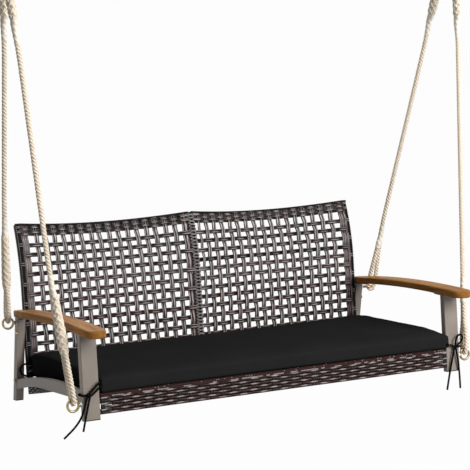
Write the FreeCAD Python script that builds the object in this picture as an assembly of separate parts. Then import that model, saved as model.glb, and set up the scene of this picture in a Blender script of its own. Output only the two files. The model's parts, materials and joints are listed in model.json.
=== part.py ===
"""Two-seat hanging porch swing: woven back, steel frame, wood armrests, one long cushion and four ropes.

Millimetres.  The bench is drawn in its own square frame: X along the bench, Y from front to back, Z up,
zero at the middle of the front legs' lower front edge.  It is then turned back by the hang tilt and carried
under the ceiling pivots.  The row's origin is the middle of the four ceiling screw holes, on the ceiling face.
"""
import FreeCAD, Part
import math
import os

Vector = FreeCAD.Vector

# Hanging
ceiling_drop = 1476.0
pivot_behind_front = 254.0
hang_tilt = 6.75
hang_half_span = 756.5
pin_below_ceiling = 34.0
bar_below_pin = 58.0

# Ceiling plates, pins and hanger links
plate_side = 90.0
plate_thick = 6.0
ceiling_hole = 8.5
ceiling_hole_spacing = 64.0
cheek_thick = 6.0
cheek_round = 14.0
pin_diameter = 10.0
pin_fit = 0.1
pin_head = 16.0
pin_head_thick = 4.0
link_sleeve = 20.0
link_rod = 12.0
link_inner_width = 40.0
link_run_gap = 1.0
link_bore_gap = 0.3

# Ropes
rope_diameter = 15.5
rope_gap = 0.45
rope_seat_gap = 0.4
# A splice's lengths from its eye: the tail's end, the throat, where the parts join, the straight part
upper_splice = (285.0, 165.0, 300.0, 365.0)
lower_splices = {
    ("front", "left"): (285.0, 150.0, 300.0, 350.0),
    ("front", "right"): (160.0, 90.0, 172.0, 225.0),
    ("rear", "left"): (272.0, 120.0, 286.0, 336.0),
    ("rear", "right"): (160.0, 96.0, 172.0, 225.0),
}

# Eye bolts
eye_wire = 7.0
eye_inner = 26.0
eye_stand_off = 27.0
bolt_diameter = 8.0
bolt_hole = 8.6
bolt_inside = 22.0
nut_flats = 13.0
nut_thick = 5.0
washer_diameter = 17.0
washer_thick = 1.6
front_eye_height = 47.0
rear_eye_below_arm = 15.0
level_eye = ("rear", "right")
eye_shoulder = 45.0

# Legs
bench_length = 1270.0
front_leg_width = 49.0
front_leg_depth = 22.0
front_leg_round = 3.0
front_leg_wall = 2.0
rear_leg_width = 24.0
rear_leg_depth = 26.0
rear_leg_inset = 12.0
rear_leg_foot_y = 587.0
rear_leg_foot_drop = 9.0
rear_leg_rake = 13.4
tube_wall = 1.5
cap_thick = 3.0
cap_plug = 10.0
cap_fit = 0.2

# Side rails
side_rail_thick = 18.0
side_rail_height = 28.0
side_rail_inset = 13.0
side_rail_front_top = 69.0
side_rail_crown_y = 265.0
side_rail_crown_top = 86.5
side_rail_rear_top = 58.5

# Armrests
arm_width = 60.0
arm_thick = 22.0
arm_overhang = 6.0
arm_front_y = -85.0
arm_rear_y = 552.0
arm_front_under = 233.0
arm_crown_y = 300.0
arm_crown_under = 257.0
arm_rear_under = 253.0
arm_notch_y = 480.0
arm_notch_end_y = 526.0
arm_back_gap = 2.0
arm_taper_y = 440.0
arm_rear_width = 25.0
arm_edge_round = 5.0
arm_plate_thick = 3.0
front_plate_rear_y = 52.0
rear_plate_front_y = 486.0
screw_shank = 5.0
screw_head = 10.0
screw_head_thick = 2.5
screw_bite = 14.0
screw_hole = 5.4
screw_seat_gap = 0.4

# Seat frame
seat_tube = 20.0
seat_tube_top = 64.0
front_rail_wall = 3.0
rear_rail_front_y = 506.0
bearer_x = 195.0
apron_bottom = 14.0
apron_thick = 2.0
apron_rod = 14.0
deck_thick = 6.0
deck_side_gap = 2.0
deck_back_gap = 1.0
skirt_thick = 3.0
skirt_inset = 8.5
skirt_front_y = 325.0
skirt_middle = (451.0, 25.0)
skirt_rear = (566.0, 9.0)

# Frame bolts
frame_bolt = 6.0
frame_bolt_hole = 6.6
frame_bolt_head = 12.0
frame_bolt_head_thick = 3.5
frame_bolt_reach = 36.0
back_post_bolt_below_eye = 33.0

# Back
back_front_y = 532.0
back_bottom_z = 66.0
back_straight = 264.0
back_lean_radius = 630.0
back_arc_length = 211.0
scoop_depth = 40.0
back_tube = 18.0
wrap_thick = 1.4
wrap_gap = 0.3
strand_layer = 1.9
strand_gap = 0.2
top_border = 38.0
bottom_border = 40.0
side_border = 45.0
centre_border = 40.0
weave_columns = 17
weave_rows = 13
upright_strand = 14.0
cross_strand = 12.0

# Cushion
cushion_end_gap = 3.0
cushion_front_y = -8.0
cushion_back_gap = 4.0
cushion_lift = 0.5
cushion_front_edge = 46.0
cushion_crown = 79.0
cushion_rear_edge = 71.0
cushion_edge_roll = 22.0
cushion_draw_in = 7.0
cushion_crown_y = 290.0
cushion_end_round = 40.0
cushion_end_fullness = 0.8

# Cushion ties
tie_diameter = 6.0
tie_gap = 0.4
tie_knot = 13.0
tie_tuck = 8.0
tie_corner = 3.7

# Worked out from the sizes above
half = bench_length / 2
front_inner = half - front_leg_width
rear_outer = half - rear_leg_inset
rear_inner = rear_outer - rear_leg_width
rear_eye_height = arm_rear_under - rear_eye_below_arm
back_post_bolt_height = rear_eye_height - back_post_bolt_below_eye
rake = math.tan(math.radians(rear_leg_rake))
seat_tube_bottom = seat_tube_top - seat_tube
deck_top = seat_tube_top + deck_thick
back_length = back_straight + back_arc_length
weave_thick = 2 * strand_layer + strand_gap
frame_front = wrap_thick + wrap_gap
wrap_depth = back_tube + 2 * frame_front
post_outer = rear_inner - frame_front
post_inner = post_outer - back_tube
wrap_inner = post_inner - frame_front
centre_post_half = back_tube / 2
centre_wrap_half = centre_post_half + frame_front

os.makedirs("parts", exist_ok=True)
nodes = {}


def hung(shape):
    """Turns a bench shape back by the hang tilt and carries it under the pivots."""
    out = shape.copy()
    out.rotate(Vector(0, 0, 0), Vector(1, 0, 0), -hang_tilt)
    out.translate(Vector(0, -pivot_behind_front, -ceiling_drop))
    return out


def hung_point(x, y, z):
    """A bench point in the row's frame."""
    turn = math.radians(hang_tilt)
    level = y * math.cos(turn) + z * math.sin(turn) - pivot_behind_front
    height = z * math.cos(turn) - y * math.sin(turn) - ceiling_drop
    return Vector(x, level, height)


def keep(name, *shapes):
    """Keeps bench shapes as one node, hung in place."""
    nodes[name] = Part.makeCompound([hung(s) for s in shapes])


def keep_fixed(name, *shapes):
    """Keeps shapes already in the row's frame as one node."""
    nodes[name] = Part.makeCompound(list(shapes))


def block(x0, x1, y0, y1, z0, z1):
    """A box between two corners, in any order along X."""
    return Part.makeBox(abs(x1 - x0), y1 - y0, z1 - z0, Vector(min(x0, x1), y0, z0))


def tube_block(x0, x1, y0, y1, z0, z1, along, wall=tube_wall):
    """A square tube: a box with a smaller box taken out of it along one axis."""
    low = [min(x0, x1), y0, z0]
    high = [max(x0, x1), y1, z1]
    inner_low = [c + wall for c in low]
    inner_high = [c - wall for c in high]
    axis = "xyz".index(along)
    inner_low[axis] = low[axis]
    inner_high[axis] = high[axis]
    outer = block(low[0], high[0], low[1], high[1], low[2], high[2])
    inner = block(inner_low[0], inner_high[0], inner_low[1], inner_high[1], inner_low[2], inner_high[2])
    return outer.cut(inner)


def mirrored(shape):
    """The same shape on the other side of the bench."""
    return shape.mirror(Vector(0, 0, 0), Vector(1, 0, 0))


def rod(start, direction, length, diameter):
    """A round rod."""
    return Part.makeCylinder(diameter / 2, length, start, direction)


def side_face(points):
    """A face in the plane of the bench's side from straight and arc edges given by point pairs or triples."""
    edges = []
    for group in points:
        place = [Vector(0, y, z) for y, z in group]
        edges.append(Part.Arc(*place).toShape() if len(place) == 3 else Part.LineSegment(*place).toShape())
    return Part.Face(Part.Wire(edges))


def circle_through(a, b, c):
    """Centre and radius of the circle through three points of the bench's side."""
    arc = Part.Arc(*[Vector(0, y, z) for y, z in (a, b, c)]).toShape()
    return arc.Curve.Center, arc.Curve.Radius


def arch_height(circle, y, lift):
    """Height of an arch at y, on a circle lifted square to itself."""
    centre, radius = circle
    return centre.z + math.sqrt((radius + lift) ** 2 - (y - centre.y) ** 2)


def arch_band(circle, y0, y1, low, high):
    """The face between two lifts of one arch."""
    middle = (y0 + y1) / 2
    under = [(y, arch_height(circle, y, low)) for y in (y0, middle, y1)]
    over = [(y, arch_height(circle, y, high)) for y in (y1, middle, y0)]
    return side_face([under, [under[-1], over[0]], over, [over[-1], under[0]]])


def thick_face(face, x0, x1):
    """A side face carried across from x0 to x1."""
    moved = face.copy()
    moved.translate(Vector(min(x0, x1), 0, 0))
    return moved.extrude(Vector(abs(x1 - x0), 0, 0))


def cord_tube(points, diameter, label):
    """A round tube along straight runs joined by tangent arcs, each as large as its two runs allow."""
    edges = []
    radii = []
    place = points[0]
    for before, corner, after in zip(points, points[1:], points[2:]):
        into = (corner - before).normalize()
        out = (after - corner).normalize()
        turn = into.getAngle(out)
        reach = 0.45 * min(before.distanceToPoint(corner), corner.distanceToPoint(after))
        radius = reach / math.tan(turn / 2)
        middle = corner + (out - into).normalize() * (radius / math.cos(turn / 2) - radius)
        start = corner - into * reach
        end = corner + out * reach
        edges.append(Part.LineSegment(place, start).toShape())
        edges.append(Part.Arc(start, middle, end).toShape())
        radii.append(radius)
        place = end
    edges.append(Part.LineSegment(place, points[-1]).toShape())
    path = Part.Wire(edges)
    ring = Part.Wire(Part.makeCircle(diameter / 2, points[0], points[1] - points[0]))
    tube = path.makePipeShell([ring], True, False)
    share = tube.Volume / (path.Length * math.pi * diameter ** 2 / 4)
    print(f"{label}: length {path.Length:.0f}, least radius {min(radii):.1f}, volume share {share:.4f}")
    return tube


def ceiling_fittings():
    """Two ceiling plates with cheeks, their pins, and the hanger links that turn on the pins."""
    cheek_inner = link_inner_width / 2 + link_rod + link_run_gap
    cheek_outer = cheek_inner + cheek_thick
    for side, name in ((-1, "left"), (1, "right")):
        middle = side * hang_half_span
        plate = block(middle - plate_side / 2, middle + plate_side / 2, -plate_side / 2, plate_side / 2,
                      -plate_thick, 0)
        for across in (-cheek_outer, cheek_inner):
            start = Vector(middle + across, 0, -pin_below_ceiling)
            cheek = block(middle + across, middle + across + cheek_thick, -cheek_round, cheek_round,
                          -pin_below_ceiling, -plate_thick)
            plate = plate.fuse(cheek).fuse(rod(start, Vector(1, 0, 0), cheek_thick, 2 * cheek_round))
        axle = Vector(middle - plate_side, 0, -pin_below_ceiling)
        plate = plate.cut(rod(axle, Vector(1, 0, 0), 2 * plate_side, pin_diameter + 2 * pin_fit))
        for along in (-1, 1):
            hole = Vector(middle, along * ceiling_hole_spacing / 2, -plate_thick)
            plate = plate.cut(rod(hole, Vector(0, 0, 1), plate_thick, ceiling_hole))
        keep_fixed(f"{name}_ceiling_plate", plate.removeSplitter())

        along_x = Vector(1, 0, 0)
        pin = rod(Vector(middle - cheek_outer, 0, -pin_below_ceiling), along_x, 2 * cheek_outer, pin_diameter)
        for across in (-cheek_outer - pin_head_thick, cheek_outer):
            start = Vector(middle + across, 0, -pin_below_ceiling)
            pin = pin.fuse(rod(start, along_x, pin_head_thick, pin_head))
        keep_fixed(f"{name}_pivot_pin", pin.removeSplitter())

        leg = link_inner_width / 2 + link_rod / 2
        sleeve_half = link_inner_width / 2 + link_rod
        bar_z = -pin_below_ceiling - bar_below_pin
        link = rod(Vector(middle - sleeve_half, 0, -pin_below_ceiling), along_x, 2 * sleeve_half, link_sleeve)
        link = link.fuse(rod(Vector(middle - leg, 0, bar_z), along_x, 2 * leg, link_rod))
        for across in (-leg, leg):
            link = link.fuse(rod(Vector(middle + across, 0, bar_z), Vector(0, 0, 1), bar_below_pin, link_rod))
            link = link.fuse(Part.makeSphere(link_rod / 2, Vector(middle + across, 0, bar_z)))
        link = link.cut(rod(axle, Vector(1, 0, 0), 2 * plate_side, pin_diameter + 2 * link_bore_gap))
        keep_fixed(f"{name}_hanger_link", link.removeSplitter())


def rear_leg_y(z):
    """Front face of the raked rear legs at a height."""
    return rear_leg_foot_y - rake * (z + rear_leg_foot_drop)


def raked_prism(x0, x1, front, rear, z0, z1):
    """A prism whose front and rear faces are level offsets from the rear legs' front face."""
    corners = [(rear_leg_y(z0) + front, z0), (rear_leg_y(z0) + rear, z0), (rear_leg_y(z1) + rear, z1),
               (rear_leg_y(z1) + front, z1)]
    pairs = list(zip(corners, corners[1:] + corners[:1]))
    return thick_face(side_face(pairs), x0, x1)


arm_arch = circle_through((arm_front_y, arm_front_under), (arm_crown_y, arm_crown_under),
                          (arm_rear_y, arm_rear_under))
eye_ring_radius = (eye_inner + eye_wire) / 2


def above_plates():
    """Everything above the undersides of the arm plates, to trim the legs' tops."""
    y0 = arm_front_y
    y1 = arm_rear_y + 2 * rear_leg_depth
    middle = (y0 + y1) / 2
    top = arm_crown_under + 2 * arm_thick
    under = [(y, arch_height(arm_arch, y, -arm_plate_thick)) for y in (y0, middle, y1)]
    face = side_face([under, [under[-1], (y1, top)], [(y1, top), (y0, top)], [(y0, top), under[0]]])
    return thick_face(face, -bench_length, bench_length)


def upright_rounded(shape):
    """A front leg's block with its upright edges rounded."""
    return shape.makeFillet(front_leg_round, [e for e in shape.Edges if e.BoundBox.ZLength > cap_thick / 2])


def frame_bolt_spots():
    """Where the frame bolts cross the rear legs: through the seat tubes and through the back posts."""
    seat_height = seat_tube_bottom + seat_tube / 2
    seat_y = rear_leg_y(seat_height) + rear_leg_depth / 2
    post_y = back_front_y + frame_front + back_tube / 2
    return [(seat_y, seat_height), (post_y, back_post_bolt_height)]


def frame_bolt_drills(side):
    """The frame bolts' holes on one side, from the outer face of the rear leg into the tube behind it."""
    inward = Vector(-side, 0, 0)
    return [rod(Vector(side * (rear_outer + 1), y, z), inward, frame_bolt_reach + 2, frame_bolt_hole)
            for y, z in frame_bolt_spots()]


def legs():
    """Four tube legs, trimmed under the arm plates and drilled for the eye bolts, and their end caps."""
    over = above_plates()
    tall = arm_crown_under
    caps = []
    for side, name in ((-1, "left"), (1, "right")):
        x0, x1 = side * half, side * front_inner
        wall = front_leg_wall
        w0, w1 = x0 - side * wall, x1 + side * wall
        front = upright_rounded(block(x0, x1, 0, front_leg_depth, cap_thick, tall))
        bore = block(w0, w1, wall, front_leg_depth - wall, cap_thick, tall)
        hole = rod(Vector(x0 + side, front_leg_depth / 2, front_eye_height), Vector(-side, 0, 0),
                   2 * wall, bolt_hole)
        keep(f"front_{name}_leg", front.cut(bore).cut(hole).cut(over))
        cap = upright_rounded(block(x0, x1, 0, front_leg_depth, 0, cap_thick))
        plug = block(w0 - side * cap_fit, w1 + side * cap_fit, wall + cap_fit,
                     front_leg_depth - wall - cap_fit, cap_thick, cap_thick + cap_plug)
        caps.append(cap.fuse(plug).removeSplitter())

        x0, x1 = side * rear_outer, side * rear_inner
        w0, w1 = x0 - side * tube_wall, x1 + side * tube_wall
        foot = -rear_leg_foot_drop
        rear = raked_prism(x0, x1, 0, rear_leg_depth, foot + cap_thick, tall)
        bore = raked_prism(w0, w1, tube_wall, rear_leg_depth - tube_wall, foot + cap_thick, tall)
        hole = rod(Vector(x0 + side, rear_leg_y(rear_eye_height) + rear_leg_depth / 2, rear_eye_height),
                   Vector(-side, 0, 0), 2 * tube_wall, bolt_hole)
        keep(f"rear_{name}_leg", rear.cut(bore).cut([hole, *frame_bolt_drills(side), over]))
        cap = raked_prism(x0, x1, 0, rear_leg_depth, foot, foot + cap_thick)
        seat = foot + cap_thick
        plug = raked_prism(w0 - side * cap_fit, w1 + side * cap_fit, tube_wall + cap_fit,
                           rear_leg_depth - tube_wall - cap_fit, seat, seat + cap_plug)
        caps.append(cap.fuse(plug).removeSplitter())
    keep("leg_end_caps", *caps)


def side_rails():
    """Arched flat tubes low down between each front leg and its rear leg."""
    arch = circle_through((front_leg_depth, side_rail_front_top), (side_rail_crown_y, side_rail_crown_top),
                          (rear_leg_y(side_rail_rear_top), side_rail_rear_top))
    end = rear_leg_foot_y + rear_leg_depth
    outer = half - side_rail_inset
    rail = thick_face(arch_band(arch, front_leg_depth, end, -side_rail_height, 0),
                      -outer, -outer + side_rail_thick)
    bore = thick_face(arch_band(arch, front_leg_depth, end, tube_wall - side_rail_height, -tube_wall),
                      -outer + tube_wall, -outer + side_rail_thick - tube_wall)
    behind = raked_prism(-half, -half + 2 * front_leg_width, 0, 4 * rear_leg_depth,
                         -rear_leg_foot_drop, arm_crown_under)
    rail = rail.cut(bore).cut(behind)
    keep("left_side_rail", rail)
    keep("right_side_rail", mirrored(rail))


def armrests():
    """Wood armrests on steel plates, held up by screws from below."""
    outer = -half - arm_overhang
    inner = outer + arm_width
    tip = arm_width / 2
    rear_inner_x = -rear_inner - arm_back_gap
    rear_outer_x = rear_inner_x - arm_rear_width
    shoulder = arm_front_y + tip
    corners = [(outer, shoulder), (outer, arm_taper_y), (rear_outer_x, arm_rear_y),
               (rear_inner_x, arm_rear_y), (rear_inner_x, arm_notch_end_y), (inner, arm_notch_y),
               (inner, shoulder)]
    corners = [Vector(x, y, 0) for x, y in corners]
    outline = [Part.Arc(corners[-1], Vector((inner + outer) / 2, arm_front_y, 0), corners[0]).toShape()]
    outline += [Part.LineSegment(a, b).toShape() for a, b in zip(corners, corners[1:])]
    plan = Part.Face(Part.Wire(outline)).extrude(Vector(0, 0, 2 * arm_crown_under))
    arch = arch_band(arm_arch, arm_front_y - 1, arm_rear_y + 1, 0, arm_thick)
    band = thick_face(arch, outer - 1, inner + 1)
    arm = plan.common(band)
    rims = [e for e in arm.Edges if e.BoundBox.XLength > 1 or e.BoundBox.YLength > arm_edge_round]
    arm = arm.makeFillet(arm_edge_round, rims)

    front_y = front_plate_rear_y - screw_head
    spots = [(-half + front_leg_width * share, front_y) for share in (0.25, 0.75)]
    rear_x = (rear_inner_x + outer) / 2
    spots += [(rear_x, rear_plate_front_y + screw_head * share) for share in (1.0, 2.4)]
    screws = []
    plates = [
        thick_face(arch_band(arm_arch, 0, front_plate_rear_y, -arm_plate_thick, 0), -half, -front_inner),
        thick_face(arch_band(arm_arch, rear_plate_front_y, rear_leg_y(arm_rear_under) + rear_leg_depth,
                             -arm_plate_thick, 0), -rear_outer, -rear_inner - arm_back_gap),
    ]
    for x, y in spots:
        under = arch_height(arm_arch, y, -arm_plate_thick)
        base = Vector(x, y, under)
        drill = rod(base - Vector(0, 0, arm_thick), Vector(0, 0, 1),
                    arm_thick + arm_plate_thick + screw_bite, screw_hole)
        arm = arm.cut(drill)
        plates = [p.cut(drill) for p in plates]
        head = rod(base - Vector(0, 0, screw_head_thick + screw_seat_gap), Vector(0, 0, 1),
                   screw_head_thick, screw_head)
        shank = rod(base - Vector(0, 0, screw_seat_gap), Vector(0, 0, 1),
                    arm_plate_thick + screw_bite - 1, screw_shank)
        screws.append(head.fuse(shank).removeSplitter())
    keep("left_armrest", arm)
    keep("right_armrest", mirrored(arm))
    keep("left_arm_plates", *plates)
    keep("right_arm_plates", *[mirrored(p) for p in plates])
    keep("armrest_screws", *screws, *[mirrored(s) for s in screws])


def eye_face(end, side):
    """Where an eye bolt's axis meets the outer face of its leg."""
    if end == "front":
        return Vector(side * half, front_leg_depth / 2, front_eye_height)
    return Vector(side * rear_outer, rear_leg_y(rear_eye_height) + rear_leg_depth / 2, rear_eye_height)


def hex_nut(start, way):
    """A plain nut with a clear hole for the bolt."""
    corner = nut_flats / math.sqrt(3)
    turns = [math.pi / 3 * k for k in range(7)]
    points = [Vector(0, corner * math.cos(turn), corner * math.sin(turn)) for turn in turns]
    nut = Part.Face(Part.makePolygon(points)).extrude(Vector(way.x * nut_thick, 0, 0))
    nut.translate(start)
    return nut.cut(rod(start, way, nut_thick, bolt_hole))


def eye_bolts():
    """Four closed eye bolts in the outer walls of the legs, each with two nuts and two washers."""
    nuts = []
    washers = []
    for end in ("front", "rear"):
        for side, name in ((-1, "left"), (1, "right")):
            out = Vector(side, 0, 0)
            face = eye_face(end, side)
            centre = face + out * eye_stand_off
            level = (end, name) == level_eye
            normal = Vector(0, 0, 1) if level else Vector(0, 1, 0)
            ring = Part.makeTorus(eye_ring_radius, eye_wire / 2, centre, normal)
            shank_length = eye_stand_off - eye_ring_radius + bolt_inside
            shank = rod(centre - out * eye_ring_radius, out * -1, shank_length, bolt_diameter)
            keep(f"{end}_{name}_eye_bolt", ring.fuse(shank).removeSplitter())
            wall = front_leg_wall if end == "front" else tube_wall
            for start, way in ((face, out), (face - out * wall, out * -1)):
                washer = rod(start, way, washer_thick, washer_diameter)
                washers.append(washer.cut(rod(start, way, washer_thick, bolt_hole)))
                nuts.append(hex_nut(start + way * washer_thick, way))
    keep("eye_bolt_washers", *washers)
    keep("eye_bolt_nuts", *nuts)


def seat_frame():
    """Square tubes that carry the seat, and the thin rod along the lower edge of the front apron."""
    tube = (seat_tube_bottom, seat_tube_top)
    inner = rear_inner - seat_tube
    rear_rail_rear_y = rear_rail_front_y + seat_tube
    front = tube_block(-front_inner, front_inner, apron_thick, apron_thick + seat_tube, *tube, "x",
                       front_rail_wall)
    keep("seat_front_rail", front)
    keep("seat_rear_rail", tube_block(-inner, inner, rear_rail_front_y, rear_rail_rear_y, *tube, "x"))
    side_end = rear_leg_y(seat_tube_bottom) + rear_leg_depth
    left = tube_block(-rear_inner, -inner, apron_thick + seat_tube, side_end, *tube, "y")
    left = left.cut(frame_bolt_drills(-1))
    keep("left_seat_tube", left)
    keep("right_seat_tube", mirrored(left))
    bearer = tube_block(bearer_x - seat_tube / 2, bearer_x + seat_tube / 2, apron_thick + seat_tube,
                        rear_rail_front_y, *tube, "y")
    keep("seat_cross_bearers", mirrored(bearer), bearer)
    keep("apron_lower_rod", block(-front_inner, front_inner, apron_thick, apron_thick + apron_rod,
                                  apron_bottom, apron_bottom + apron_rod))


def seat_panels():
    """The woven seat deck, the woven front apron, and the woven skirts that hang from the side tubes."""
    side = front_inner - deck_side_gap
    keep("seat_weave", block(-side, side, 0, back_front_y - deck_back_gap, seat_tube_top, deck_top))
    keep("front_apron_weave", block(-side, side, 0, apron_thick, apron_bottom, seat_tube_top))
    tube = seat_tube_bottom
    outline = side_face([[(skirt_front_y, tube), skirt_middle, skirt_rear],
                         [skirt_rear, (skirt_rear[0], tube)], [(skirt_rear[0], tube), (skirt_front_y, tube)]])
    skirt = thick_face(outline, -rear_inner + skirt_inset, -rear_inner + skirt_inset + skirt_thick)
    keep("left_side_skirt", skirt)
    keep("right_side_skirt", mirrored(skirt))


def back_point(x, along, depth):
    """A bench point on the back: upright at first, then leaning on an arc, with one scoop in each half."""
    lean = max(0.0, along - back_straight) / back_lean_radius
    y = back_front_y + back_lean_radius * (1 - math.cos(lean))
    z = back_bottom_z + min(along, back_straight) + back_lean_radius * math.sin(lean)
    across = (post_inner - abs(x)) / (post_inner - centre_post_half)
    across = min(1.0, max(0.0, across))
    off = depth + scoop_depth * along / back_length * 4 * across * (1 - across)
    return Vector(x, y + off * math.cos(lean), z - off * math.sin(lean))


def spread(start, end, count):
    """Evenly spaced values from start to end."""
    return [start + (end - start) * k / (count - 1) for k in range(count)]


def upright(x0, x1, low, high, front, rear):
    """A strip that runs up the back between two heights."""
    rings = []
    for along in spread(low, high, 9):
        corners = [back_point(x, along, d) for x, d in ((x0, front), (x1, front), (x1, rear), (x0, rear))]
        rings.append(Part.makePolygon(corners + corners[:1]))
    return Part.makeLoft(rings, True, False)


def crosswise(x0, x1, low, high, front, rear):
    """A strip that runs across one half of the back."""
    rings = []
    for x in spread(x0, x1, 9):
        corners = [back_point(x, a, d) for a, d in ((low, front), (high, front), (high, rear), (low, rear))]
        rings.append(Part.makePolygon(corners + corners[:1]))
    return Part.makeLoft(rings, True, False)


def wrapped(build, wide, tall, tube_wide, tube_tall):
    """The woven wrap round a back tube: an outer strip with the tube's room taken out of it."""
    outer = build(*wide, *tall, 0, wrap_depth)
    return outer.cut(build(*tube_wide, *tube_tall, wrap_thick, wrap_depth - wrap_thick))


def back_post(x0, x1, low, high):
    """A square tube that runs up the back."""
    front = frame_front
    rear = frame_front + back_tube
    bore = upright(x0 + tube_wall, x1 - tube_wall, low, high, front + tube_wall, rear - tube_wall)
    return upright(x0, x1, low, high, front, rear).cut(bore)


def back_rail(x0, x1, low, high):
    """A square tube that runs across one half of the back."""
    front = frame_front
    rear = frame_front + back_tube
    bore = crosswise(x0, x1, low + tube_wall, high - tube_wall, front + tube_wall, rear - tube_wall)
    return crosswise(x0, x1, low, high, front, rear).cut(bore)


def back_frame():
    """Posts and rails of the back; the top rail follows the two scoops."""
    low = frame_front
    high = back_length - frame_front
    left = back_post(-post_outer, -post_inner, low, high).cut(frame_bolt_drills(-1))
    keep("left_back_post", left)
    keep("right_back_post", mirrored(left))
    keep("centre_back_post", back_post(-centre_post_half, centre_post_half, low, high))
    top = back_rail(-post_inner, -centre_post_half, high - back_tube, high)
    keep("back_top_rail", top, mirrored(top))
    bottom = back_rail(-post_inner, -centre_post_half, low, low + back_tube)
    keep("back_bottom_rail", bottom, mirrored(bottom))


def rail_room(low):
    """The room that a back rail of one half takes up, with the wraps' clearance round it."""
    clear = wrap_gap / 2
    return crosswise(-post_inner, -centre_post_half, low - clear, low + back_tube + clear,
                     frame_front - clear, frame_front + back_tube + clear)


def back_weave():
    """Dense woven borders round each half of the back, and the open lattice of strands inside them."""
    lattice_outer = rear_inner - side_border
    lattice_inner = centre_border / 2
    lattice_low = bottom_border
    lattice_high = back_length - top_border
    sleeve_low = wrap_depth
    sleeve_high = back_length - wrap_depth
    clear = wrap_gap
    side_wrap = wrapped(upright, (-rear_inner, -wrap_inner), (0, back_length),
                        (-post_outer - clear, -post_inner + clear), (wrap_thick, back_length - wrap_thick))
    windows = [rail_room(frame_front), rail_room(back_length - frame_front - back_tube)]
    side_wrap = side_wrap.cut([*frame_bolt_drills(-1), *windows])
    top_wrap = wrapped(crosswise, (-wrap_inner, -centre_wrap_half), (sleeve_high, back_length),
                       (-wrap_inner, -centre_wrap_half), (sleeve_high + wrap_thick, back_length - wrap_thick))
    low_wrap = wrapped(crosswise, (-wrap_inner, -centre_wrap_half), (0, sleeve_low),
                       (-wrap_inner, -centre_wrap_half), (wrap_thick, sleeve_low - wrap_thick))
    bands = [
        crosswise(-wrap_inner, -centre_wrap_half, lattice_high, sleeve_high, 0, weave_thick),
        crosswise(-wrap_inner, -centre_wrap_half, sleeve_low, lattice_low, 0, weave_thick),
        upright(-wrap_inner, -lattice_outer, lattice_low, lattice_high, 0, weave_thick),
        upright(-lattice_inner, -centre_wrap_half, lattice_low, lattice_high, 0, weave_thick),
    ]
    border = [side_wrap, top_wrap, low_wrap, *bands]
    keep("left_back_border", *border)
    keep("right_back_border", *[mirrored(b) for b in border])
    centre_wrap = wrapped(upright, (-centre_wrap_half, centre_wrap_half), (0, back_length),
                          (-centre_post_half - clear, centre_post_half + clear),
                          (wrap_thick, back_length - wrap_thick))
    keep("centre_back_border", centre_wrap.cut(windows + [mirrored(w) for w in windows]))
    strands = []
    pitch = (lattice_outer - lattice_inner) / weave_columns
    for column in range(1, weave_columns):
        x = -lattice_outer + pitch * column
        strands.append(upright(x - upright_strand / 2, x + upright_strand / 2, lattice_low, lattice_high,
                               0, strand_layer))
    pitch = (lattice_high - lattice_low) / weave_rows
    for row in range(1, weave_rows):
        along = lattice_low + pitch * row
        low = along - cross_strand / 2
        strands.append(crosswise(-lattice_outer, -lattice_inner, low, low + cross_strand,
                                 strand_layer + strand_gap, weave_thick))
    keep("left_back_weave", *strands)
    keep("right_back_weave", *[mirrored(s) for s in strands])


def frame_bolts():
    """Button-headed bolts that hold the seat tubes and the back posts to the rear legs."""
    bolts = []
    for y, z in frame_bolt_spots():
        for side in (-1, 1):
            face = Vector(side * rear_outer, y, z)
            head = rod(face, Vector(side, 0, 0), frame_bolt_head_thick, frame_bolt_head)
            shank = rod(face, Vector(-side, 0, 0), frame_bolt_reach, frame_bolt)
            bolts.append(head.fuse(shank).removeSplitter())
    keep("frame_bolts", *bolts)


def cushion_fullness(inset):
    """Share of the full section at a distance in from the cushion's end: a quarter ellipse, then full."""
    left_over = max(0.0, 1 - inset / cushion_end_round)
    return cushion_end_fullness + (1 - cushion_end_fullness) * math.sqrt(1 - left_over ** 2)


def cushion_ring(x, end):
    """One section of the cushion: flat below, rolled front and rear edges, and a crowned top."""
    fullness = cushion_fullness(end - abs(x))
    draw = cushion_draw_in * (1 - (x / end) ** 2) + (1 - fullness) * cushion_edge_roll
    front = cushion_front_y + draw
    rear = back_front_y - cushion_back_gap - draw
    roll = cushion_edge_roll * fullness
    base = deck_top + cushion_lift
    front_top = base + cushion_front_edge * fullness
    rear_top = base + cushion_rear_edge * fullness
    front_low = Vector(x, front + roll, base)
    rear_low = Vector(x, rear - roll, base)
    rear_high = Vector(x, rear - roll / 2, rear_top)
    front_high = Vector(x, front + roll / 2, front_top)
    crown = Vector(x, cushion_crown_y, base + cushion_crown * fullness)
    return Part.Wire([
        Part.LineSegment(front_low, rear_low).toShape(),
        Part.Arc(rear_low, Vector(x, rear, (base + rear_top) / 2), rear_high).toShape(),
        Part.Arc(rear_high, crown, front_high).toShape(),
        Part.Arc(front_high, Vector(x, front, (base + front_top) / 2), front_low).toShape(),
    ])


def cushion():
    """One long seat cushion with a crown, rolled edges, drawn-in sides and rounded ends."""
    end = front_inner - cushion_end_gap
    insets = [cushion_end_round * share for share in (0, 0.03, 0.12, 0.3, 0.6, 1)]
    right = [end / 3] + [end - inset for inset in reversed(insets)]
    places = [-x for x in reversed(right)] + right
    keep("seat_cushion", Part.makeLoft([cushion_ring(x, end) for x in places], True, True))


def bench_path(points, side):
    """Points of a cord on one side of the bench, given for the right-hand side."""
    return [Vector(side * x, y, z) for x, y, z in points]


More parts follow.
